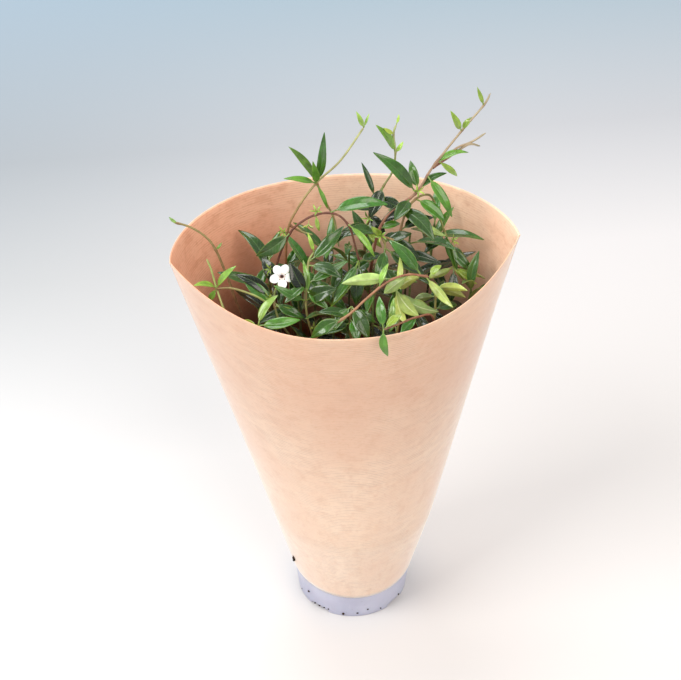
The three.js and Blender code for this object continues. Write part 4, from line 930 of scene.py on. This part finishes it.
def addStem(skin, route, radius, nodes, bark, young, first=0.0):
    # first is the share of the whole stem at which this route starts, above 0 for a twig
    look = stemLook
    rings, run = stemRings(route, radius, nodes)
    share = first + (1 - first) * run / route.length
    bark, young = paint(bark), paint(young)
    tint = lerp(bark, young, smooth(look["youngFrom"], 1.0, share)[:, None])
    # the foot of a stem is darkened by painted shade deep in the sleeve
    tint = tint * lerp(look["foot"], 1.0, smooth(*look["footShadeTo"], rings.mean(1)[:, 2:]))
    red = lerp(bark, paint(look["knuckle"]), look["knuckleShare"])
    for node in nodes:
        near = np.exp(-((run - node) / look["knuckleReach"]) ** 2)[:, None]
        tint = lerp(tint, red, look["knuckleShare"] * near)
    skin.addLofts(rings[None], run[None], tint[None, :, None], 1)


budLook = dict(sepals=5, sepal=5.6, out=0.9, up=0.55, width=1.7, stalk=4.5, stalkWidth=1.0, tone=0.92)


def addBud(skin, place, way, seed, stalk=0.0):
    # narrow sepals that spread from the end of a short stalk like a star, each made as a small blade
    look = budLook
    axis = unit(np.array(way, dtype=float))
    side, end = squareTo(axis), place + axis * stalk
    blades = []
    for i in range(look["sepals"]):
        spread = turnedAbout(side, axis, (i + 0.5) / look["sepals"] * 2 * np.pi)
        reach = look["sepal"] * (spread * look["out"] + axis * look["up"])
        leafSide, face = bladeFrame(reach, axis, 0)
        blades.append(dict(base=end, reach=reach, side=leafSide, face=face, width=look["width"]))
    if stalk:
        reach = axis * (stalk + 1.5)
        leafSide, face = bladeFrame(reach, side, 0)
        blades.append(dict(base=place, reach=reach, side=leafSide, face=face, width=look["stalkWidth"]))
    addLeaves(skin, blades, np.full(len(blades), look["tone"]), seed)


# small star calyces and buds of the photograph, as the stem, the place on its route and their way
buds = [("stem_arch", 6.7, (-0.2, -0.4, 0.9)), ("stem_arch", 6.2, (-0.1, -0.6, -0.6)),
        ("stem_tall_left", 4.05, (-0.6, -0.5, 0.5)), ("stem_arch", 4.1, (-0.9, -0.4, 0.3)),
        ("stem_arch", 3.5, (-0.75, -0.5, 0.45)), ("stem_back", 3.9, (-0.2, -0.7, 0.6)),
        ("stem_middle", 6.0, (-0.2, -0.7, 0.6)), ("stem_left_middle", 3.6, (0.5, -0.7, 0.4)),
        ("stem_flower", 4.9, (-0.7, -0.5, 0.3)), ("stem_tall_right", 5.0, (0.2, -0.6, 0.7)),
        ("stem_droop_right", 8.0, (0.6, -0.3, 0.6)), ("stem_pale_right", 5.0, (-0.2, -0.4, 0.9))]

for shoot in shoots:
    skin = Skin("shoot_" + shoot["name"][5:])
    main, draw = shoot["main"], np.random.default_rng(500 + shoot["owner"])
    nodes = sorted({round(float(blade["run"]), 1) for blade in shoot["set"]})
    radius = (shoot["thick"] / 2, plant["stemTip"] / 2)
    addStem(skin, main, radius, nodes, shoot["bark"], shoot["young"])
    for branch in shoot["branches"]:
        addStem(skin, branch, (lerp(*radius, 0.7), radius[1]), [0], shoot["bark"], shoot["young"], 0.65)
    if shoot["set"]:
        tone = np.array([blade["tone"] for blade in shoot["set"]])
        addLeaves(skin, shoot["set"], tone + draw.uniform(-0.05, 0.09, len(tone)), 900 + shoot["owner"])
    for at, *way in shoot.get("calyxes", []):
        addBud(skin, main.point(at), way, 30)
    for number, (name, at, way) in enumerate(buds):
        if name == shoot["name"]:
            addBud(skin, main.point(at), way, 40 + number, budLook["stalk"])
    skin.build([waxyLeaf, youngBark], "leafy_stem", shoot["name"])

# each lobe's turn in degrees and how strong its mark at the throat is
corollaLook = dict(turns=(62, 120, 194, 270, 346), marks=(0.3, 0.3, 0.9, 0.6, 0.9), around=28,
                   start=1.2, reach=8.2, half=3.4, thick=0.16,
                   throat="#A06454", white="#F4F1EE", tube="#E9DDD2")


def atFlower(points):  # a shape built along +Z put on the flower's axis
    x, y, z = points[..., :1], points[..., 1:2], points[..., 2:]
    return flowerBase + x * flowerSide + y * np.cross(flowerAxis, flowerSide) + z * flowerAxis


def addCorolla():
    look, skin, tall = corollaLook, Skin("corolla_petals"), plant["flowerTube"]
    # tube: a narrow trumpet turned about the axis, its wall going up outside and down inside
    outside = np.array([(0.95, 0), (1.15, 1.5), (1.45, 4), (1.7, 7), (2.0, 9.5), (2.3, 11.4), (2.6, tall)])
    inside = np.array([(2.35, tall), (1.9, 11.4), (1.6, 9.4), (1.3, 7), (1.0, 5.2)])
    profile = np.concatenate([outside, inside])
    turn = np.arange(look["around"]) / look["around"] * 2 * np.pi
    rings = turned(profile[:, :1], turn, profile[:, 1:])
    white, throat, tube = (paint(look[key]) for key in ("white", "throat", "tube"))
    deep = smooth(tall + 0.5, tall - 2.4, inside[:, 1])
    mark = np.concatenate([np.zeros(len(outside)), deep])[:, None, None]
    stripe = (0.55 + 0.45 * np.cos(turn * 10))[None, :, None]
    tint = lerp(tube, throat, mark * stripe)
    skin.addLofts(atFlower(rings)[None], np.linspace(0, 1, len(profile)), tint, 0)
    # lobes: half the width is an ellipse of v with a narrow foot, the middle rises a little and bends back
    v = np.array([0, 0.07, 0.14, 0.22, 0.32, 0.43, 0.54, 0.65, 0.75, 0.84, 0.91, 0.96, 0.99])
    s = aroundBlade
    for i, (angle, strong) in enumerate(zip(look["turns"], look["marks"])):
        half = look["half"] * np.sqrt(np.clip(1 - ((v - 0.56) / 0.455) ** 2, 0.02, 1))
        half = np.maximum(half, 1.5 * (1 - smooth(0.1, 0.3, v)))
        out = look["start"] + look["reach"] * v
        rise = tall - 0.7 + 2.4 * v - 2.1 * v * v + (i % 2) * 0.6 * v
        x = out[:, None] - 0.5 * (s * s * half[:, None] * 0.35 * v[:, None])
        y = half[:, None] * s
        z = rise[:, None] + 0.10 * half[:, None] * s * s + 0.22 * np.sin(3.1 * s + 2 * i) * v[:, None] \
            + sideOfBlade * look["thick"] * (1 - 0.5 * s * s)
        lobe = np.stack([*spun(x, -y, np.radians(angle)), z], axis=-1)
        mark = strong * (1 - smooth(0.03, 0.2, v))[:, None] * (1 - smooth(0.25, 0.85, np.abs(s)))[None]
        skin.addLofts(atFlower(lobe)[None], v, lerp(white, throat, mark[..., None]), 0)
    skin.build([whitePetal], "white_petal", "corolla")


addCorolla()

# folds in millimetres; the tints are shares of red, green and blue that paint shade and light on the paper,
# and the heights that they reach to are shares of the way from the ring to the mouth
sleeveLook = dict(angles=360, thick=0.5, seamHalf=0.085, seamStep=0.45, ringFold=0.8, slowBow=0.9, lip=0.5,
                  ridge=0.5, insideShading=(0.045, 0.026, 0.017), insideShadingTo=(0.44, 0.9), shadedLeft=(1.0, 0.82, 0.80),
                  litRight=(1.04, 1.24, 1.40), floorLight=(1.36, 1.5, 1.56), floorLightTo=(-0.1, 0.85))


def addSleeve():
    # The sleeve's outside is the part's own surface, pushed out or in along its normal by soft folds:
    # pleats that radiate from the ring and fade upwards, a slow bow of each panel, a rolled lip at the
    # cut edge, a pressed ridge down each crease, and the doubled strip of the glued seam at the back.
    look, skin = sleeveLook, Skin("sleeve_paper")
    angle = np.arange(look["angles"]) / look["angles"] * 2 * np.pi
    rise = np.concatenate([np.linspace(0, 1, 18), np.linspace(1.02, 1.96, 46), [1.98, 1.992, 2.0]])
    a, r = np.meshgrid(angle, rise, indexing="ij")
    step = 0.004
    along = sleevePoint(a + step, r) - sleevePoint(a - step, r)
    outward = unit(np.stack([along[..., 1], -along[..., 0], np.zeros(a.shape)], axis=-1))
    high = np.clip(r - 1, 0, 1)
    nearRing = np.exp(-np.abs(r - 1.0) / 0.16)
    pleats = look["ringFold"] * nearRing * ripple(a * 9, r * 1.2, 3, 6, 0.7, 1.6) * 0.5
    bow = look["slowBow"] * high * ripple(a * 1.6, high * 2.0, 5, 5, 0.7, 1.5) * (1 - 0.4 * high)
    lip = look["lip"] * smooth(0.975, 1.0, high) * (0.6 + 0.4 * np.sin(a * 5 + 1))
    toCrease = np.minimum(np.abs(np.sin(a)), 0.2)
    ridge = look["ridge"] * np.exp(-(toCrease / 0.012) ** 2) * smooth(0.05, 0.4, high)
    seam = look["seamStep"] * (1 - smooth(look["seamHalf"], look["seamHalf"] + 0.01, np.abs(a - np.pi / 2)))
    calm = smooth(0.0, 0.12, r)  # the hem lies on the pot
    push = (pleats + bow) * calm + lip + ridge + seam * smooth(0, 0.02, r)
    outside = sleevePoint(a, r) + outward * push[..., None]
    inside = outside - outward * look["thick"]
    points = np.concatenate([outside[:, ::-1], inside], axis=1)
    # the uv is measured up the middle of the back and round the sheet half way from the ring to the mouth
    back, level = outside[look["angles"] // 4], outside[:, 40]
    length = np.concatenate([[0], np.cumsum(np.linalg.norm(np.diff(back, axis=0), axis=1))])
    v = np.concatenate([length[::-1], length])
    around = np.linalg.norm(np.roll(level, -1, 0) - level, axis=1)
    u = np.concatenate([[0], np.cumsum(around)[:-1]])
    # lighter on the creases and the cut edge, partly worn paper and partly a painted highlight, and a little
    # darker where it hugs the pot
    wearAndHighlight = 1 + 0.16 * np.exp(-(toCrease / 0.02) ** 2) * high + 0.10 * smooth(0.985, 1.0, high) \
        - 0.06 * np.exp(-np.abs(r - 1) / 0.1)
    # inside, painted shade darkens and reddens the paper below the leaves, nearly to black low down
    insideShading = lerp(np.array(look["insideShading"]), 1.0, smooth(*look["insideShadingTo"], high)[..., None])
    # the inside is browner at the left, painted shade, and paler at the right, painted light
    toRight = smooth(-1, 0.5, np.cos(a))[..., None]
    insideShading = insideShading * lerp(np.array(look["shadedLeft"]), np.array(look["litRight"]), toRight)
    # outside, the lower half is drawn paler, painted light bounced up from the floor
    floorLight = lerp(np.array(look["floorLight"]), 1.0, smooth(*look["floorLightTo"], high)[..., None])
    tint = np.concatenate([(wearAndHighlight[..., None] * floorLight)[:, ::-1], wearAndHighlight[..., None] * insideShading], axis=1)
    isInside = np.repeat([0, 1], len(rise))
    skin.addGrid(points, u, v, tint, isInside)
    return skin.build([kraftOutside, kraftInside], "kraft_paper", "paper_sleeve")


addSleeve()

potLook = dict(height=105, baseRadius=sleeve["potBase"], flare=sleeve["potFlare"], rimRadius=60, rimDepth=12,
               wall=1.4, notchWidth=19, notchHeight=3.6, notchDeep=39, angles=288)


def addPot():
    # The profile is carried round the axis. At a drain notch the wall's foot is lifted by half an
    # ellipse over the way from the notch's middle, and the floor inside rises with it.
    look, skin = potLook, Skin("pot_shell")
    turn = np.arange(look["angles"]) / look["angles"] * 2 * np.pi
    off = np.abs(turn % (np.pi / 2) - np.pi / 4)
    away = look["baseRadius"] * np.sin(off) / (look["notchWidth"] / 2)
    lift = 0.03 + look["notchHeight"] * np.sqrt(np.maximum(0, 1 - away ** 2))
    one = np.ones(look["angles"])
    base, top, rimTop = look["baseRadius"], look["rimRadius"], look["height"]
    rimFoot = rimTop - look["rimDepth"]

    def wallAt(height):
        return base + look["flare"] * height

    inner = np.maximum(2.0, lift + 1.5)
    profile = [
        (6 * one, 0 * one), (30 * one, 0 * one), (look["notchDeep"] * one, 0 * one),
        (look["notchDeep"] + 0.1 * one, lift), (base - 0.9 * one, lift + 0.01),
        (base - 0.25 * one, lift + 0.22), (wallAt(lift + 1.0), lift + 1.0)]
    profile += [(wallAt(h) * one, np.maximum(h, lift + 1.3)) for h in (6, 16, 30, 45, 60, 75, 88)]
    under = wallAt(rimFoot)
    rim = [(under - 0.1, rimFoot - 0.8), (under + 0.5, rimFoot), (top - 1.2, rimFoot + 0.3),
           (top - 0.3, rimFoot + 0.9), (top, rimFoot + 2), (top, rimTop - 1.3), (top - 0.25, rimTop - 0.4),
           (top - 0.9, rimTop), (top - 1.9, rimTop), (top - 2.4, rimTop - 0.5), (top - 2.6, rimTop - 2),
           (top - 2.7, rimFoot + 3.5), (under - look["wall"] + 0.6, rimFoot + 1),
           (under - look["wall"], rimFoot - 1)]
    profile += [(r * one, h * one) for r, h in rim]
    profile += [((wallAt(h) - look["wall"]) * one, h * one) for h in (75, 50, 25, 9)]
    profile += [(41.4 * one, inner + 0.9), (40.6 * one, inner), (37.6 * one, inner), (36.4 * one, 1.8 * one),
                (6 * one, 1.8 * one)]
    radius, height = (np.array(part) for part in zip(*profile))
    skin.addLofts(turned(radius, turn, height)[None], np.linspace(0, 1, len(profile)), np.ones(3), 0)
    return skin.build([potPlastic], "pot_plastic", "nursery_pot")


addPot()

# lumps: how many, of what, and their least and greatest size
crumbLook = dict(peat="#33271E", bark="#6B4A30", perlite="#D8D3C8", around=140, rows=46,
                 lumps=((420, "peat", 0.7, 2.1), (46, "bark", 1.0, 2.8), (30, "perlite", 0.8, 1.7)))
golden = (1 + 5 ** 0.5) / 2
lumpPoints = unit(np.array([(0, a, b * golden) for a in (-1, 1) for b in (-1, 1)]
                           + [(a, b * golden, 0) for a in (-1, 1) for b in (-1, 1)]
                           + [(b * golden, 0, a) for a in (-1, 1) for b in (-1, 1)], dtype=float))


def lumpFaces():
    # the 20 triangles of the lump: every three corners that are one edge apart, turned outwards
    gap = np.linalg.norm(lumpPoints[:, None] - lumpPoints[None], axis=2)
    joined = (gap > 0.1) & (gap < 1.2)
    faces = []
    for a, b, c in combinations(range(12), 3):
        if joined[a, b] and joined[b, c] and joined[a, c]:
            p, q, r = lumpPoints[[a, b, c]]
            faces.append((a, b, c) if np.dot(np.cross(q - p, r - p), p + q + r) > 0 else (a, c, b))
    return np.array(faces)


lumpSides = lumpFaces()


def addLumps(skin, places, sizes, colour, draw):
    # each lump is the same 12 corners with its own drawn stretch, turn and dents
    count = len(places)
    stretch = draw.uniform(0.55, 1.15, (count, 1, 3))
    dent = draw.uniform(0.75, 1.15, (count, 12, 1))
    turn = draw.uniform(0, 2 * np.pi, count)
    points = lumpPoints[None] * stretch * dent * sizes[:, None, None]
    x, y = spun(points[..., 0], points[..., 1], turn[:, None])
    points = np.stack([x, y, points[..., 2]], axis=-1) + places[:, None]
    faces = lumpSides[None] + 12 * np.arange(count)[:, None, None]
    shade = draw.uniform(0.7, 1.3, (count, 1, 1))
    tint = np.broadcast_to(paint(colour) * shade, (count, 12, 3)).reshape(-1, 3)
    skin.addFaces(points.reshape(-1, 3), faces.reshape(-1, 3).tolist(), tint, 0)


def soilHeight(x, y):
    waves = np.sin(x * 0.21 + 1) * np.cos(y * 0.17) + 0.6 * np.sin(x * 0.4 - y * 0.33)
    return plant["soilTop"] + 1.6 * waves


def addSoil():
    # a plug whose top is the part's own uneven height with drawn lumps of three sizes on it
    look, skin, draw = crumbLook, Skin("soil_mix"), np.random.default_rng(77)
    turn = np.arange(look["around"]) / look["around"] * 2 * np.pi
    wall = np.array([(6, 9), (41.6, 9), (42.6, 11), (52.2, 86), (52.5, 90.5)])
    across = np.linspace(51.8, 1.5, look["rows"])
    radius = np.concatenate([wall[:, 0], across])[:, None]
    height = np.concatenate([wall[:, 1], np.zeros(len(across))])[:, None]
    rings = turned(radius, turn, height)
    top = rings[len(wall):]
    x, y = top[..., 0], top[..., 1]
    rough = 0.5 * ripple(x, y, 8, 9, 0.5, 0.9) + 0.35 * ripple(x, y, 9, 12, 1.2, 2.2)
    top[..., 2] = soilHeight(x, y) + rough
    skin.addLofts(rings[None], np.linspace(0, 1, len(rings)), paint(look["peat"]), 0)
    for count, mix, low, high in look["lumps"]:
        far, angle = 50.5 * np.sqrt(draw.uniform(0, 1, count)), draw.uniform(0, 2 * np.pi, count)
        x, y = far * np.cos(angle), far * np.sin(angle)
        places = np.stack([x, y, soilHeight(x, y) + 0.4], axis=-1)
        addLumps(skin, places, draw.uniform(low, high, count), look[mix], draw)
    return skin.build([pottingMix], "potting_soil", "soil")


addSoil()
print("object built")

# spilt crumbs of mix: on the pot's wall as angle in degrees, height and size, and a clump of them
# with a dry rootlet where the sleeve's lower left edge meets the pot
potCrumbs = [(-148, 13.9, 1.5), (-165, 4.5, 1.1), (-81, 7.8, 1.5), (-92, 4.6, 1.3), (-107, 3.2, 1.6),
             (-66, 3.6, 1.2), (-40, 5.7, 1.3), (-128, 4.6, 1.4), (-134, 4.2, 1.2), (-140, 4.4, 1.3),
             (-123, 4.8, 1.1), (35, 6.5, 1.2), (80, 5.2, 1.4), (128, 8.0, 1.2)]
clump = dict(angle=-158, rise=0.3, spread=(0.5, 1.4, 1.44), lumps=16, sizes=(0.6, 1.5))


def addCrumbs():
    skin, draw = Skin("spilt_crumbs"), np.random.default_rng(5)
    angle, height, size = np.array(potCrumbs, dtype=float).T
    angle = np.radians(angle)
    radius = potLook["baseRadius"] + potLook["flare"] * height + 0.1
    addLumps(skin, turned(radius, angle, height), size * 0.8, crumbLook["peat"], draw)
    middle = sleevePoint(np.radians(clump["angle"]), clump["rise"]).reshape(3)
    out = unit(middle * np.array([1, 1, 0]))
    places = middle + out * 0.6 + draw.normal(0, 1, (clump["lumps"], 3)) * clump["spread"]
    addLumps(skin, places, draw.uniform(*clump["sizes"], clump["lumps"]), crumbLook["peat"], draw)
    return skin.build([pottingMix], "potting_soil")


addCrumbs()

# the sheet's colour along Y, in metres, at its left and at its right; it holds painted shade towards the back
# and a painted shadow of the sleeve at the right near the object
stage = dict(size=6.0, along=(0.16, 0.42, 0.62, 0.92), sides=(-0.45, 0.30), grain=0.004,
             left=("#DADADA", "#B1B4B6", "#979EA4", "#96A7B5"),
             right=("#D5D2D0", "#CDCBCB", "#B1B3B7", "#94A7B3"))


def makeFloor():
    # one big pale paper sheet, white by the object and darker, cooler and greyer towards the back, painted
    # shade where less light reaches; near the object its right is a little darker and warmer, a painted
    # shadow of the sleeve
    material, tree, shader = newMaterial("pale_floor", {"Roughness": 0.9})
    place = addNode(tree, "TexCoord", output="Object")
    across, deep = (addNode(tree, "SeparateXYZ", [place], part) for part in (0, 1))
    share = addNode(tree, "MapRange", [across, *stage["sides"]], **softStep)
    stops = [addNode(tree, "Mix", {0: share, 6: linear(left), 7: linear(right)}, 2, **blend)
             for left, right in zip(stage["left"], stage["right"])]
    colour = stops[0]
    for near, far, stop in zip(stage["along"], stage["along"][1:], stops[1:]):
        step = addNode(tree, "MapRange", [deep, near, far], **evenStep)
        colour = addNode(tree, "Mix", {0: step, 6: colour, 7: stop}, 2, **blend)
    grain = addNode(tree, "TexNoise", {"Vector": place, "Scale": 1 / stage["grain"], "Detail": 4.0})
    normal = addNode(tree, "Bump", {"Height": grain, "Distance": 0.0001, "Strength": 0.2})
    connect(tree, shader, {"Base Color": colour, "Normal": normal})
    mesh = bpy.data.meshes.new("pale_floor")
    corners = [(x * stage["size"], y * stage["size"], 0) for x, y in ((-1, -1), (1, -1), (1, 1), (-1, 1))]
    mesh.from_pydata(corners, [], [(0, 1, 2, 3)])
    mesh.materials.append(material)
    floor = bpy.data.objects.new("pale_floor", mesh)
    bpy.context.scene.collection.objects.link(floor)


makeFloor()

# the camera's side and height in degrees, its distance and aim (right of the axis, up) in millimetres,
# and the picture's width and the lens's focal length in pixels
view = dict(azimuth=-7.18, elevation=40.38, distance=1824, aim=(-9.7, 258.7),
            focus=2400, width=681, sensor=36)
sky = dict(colour="#F3F6FA", strength=0.66)
lights = [  # name, place, aim, size, power, colour
    ("softbox_left", (-2.4, -1.0, 3.0), (0, 0, 0.2), 1.9, 96, "#FFFDFA"),
    ("softbox_top", (-0.3, 1.1, 3.0), (0, 0, 0.2), 1.5, 40, "#FFFFFF"),
    ("front_fill", (1.0, -2.1, 3.0), (0, 0, 0.3), 2.2, 60, "#FFF4EA"),
]


def aimed(thing, place, target):
    thing.location = place
    thing.rotation_euler = (Vector(target) - Vector(place)).to_track_quat("-Z", "Y").to_euler()


def addCameraAndLights():
    turn, tilt = np.radians(view["azimuth"]), np.radians(view["elevation"])
    back = np.array([np.sin(turn) * np.cos(tilt), -np.cos(turn) * np.cos(tilt), np.sin(tilt)])
    right = unit(np.cross(-back, upward))
    target = np.array([0, 0, view["aim"][1]]) + right * view["aim"][0]
    camera = bpy.data.objects.new("camera", bpy.data.cameras.new("camera"))
    camera.data.sensor_width = view["sensor"]
    camera.data.lens = view["focus"] / view["width"] * view["sensor"]
    aimed(camera, (target + back * view["distance"]) * mm, target * mm)
    bpy.context.scene.collection.objects.link(camera)
    bpy.context.scene.camera = camera
    for name, place, aim, size, power, colour in lights:
        lamp = bpy.data.lights.new(name, "AREA")
        lamp.shape, lamp.size, lamp.energy = "SQUARE", size, power
        lamp.color = linear(colour)[:3]
        lampObject = bpy.data.objects.new(name, lamp)
        aimed(lampObject, place, aim)
        bpy.context.scene.collection.objects.link(lampObject)
    world = bpy.data.worlds.new("soft_studio")
    world.use_nodes = True
    background = world.node_tree.nodes["Background"]
    background.inputs["Color"].default_value = linear(sky["colour"])
    background.inputs["Strength"].default_value = sky["strength"]
    bpy.context.scene.world = world
    bpy.context.scene.view_settings.view_transform = "Standard"


addCameraAndLights()
print("stage, camera and lights set")
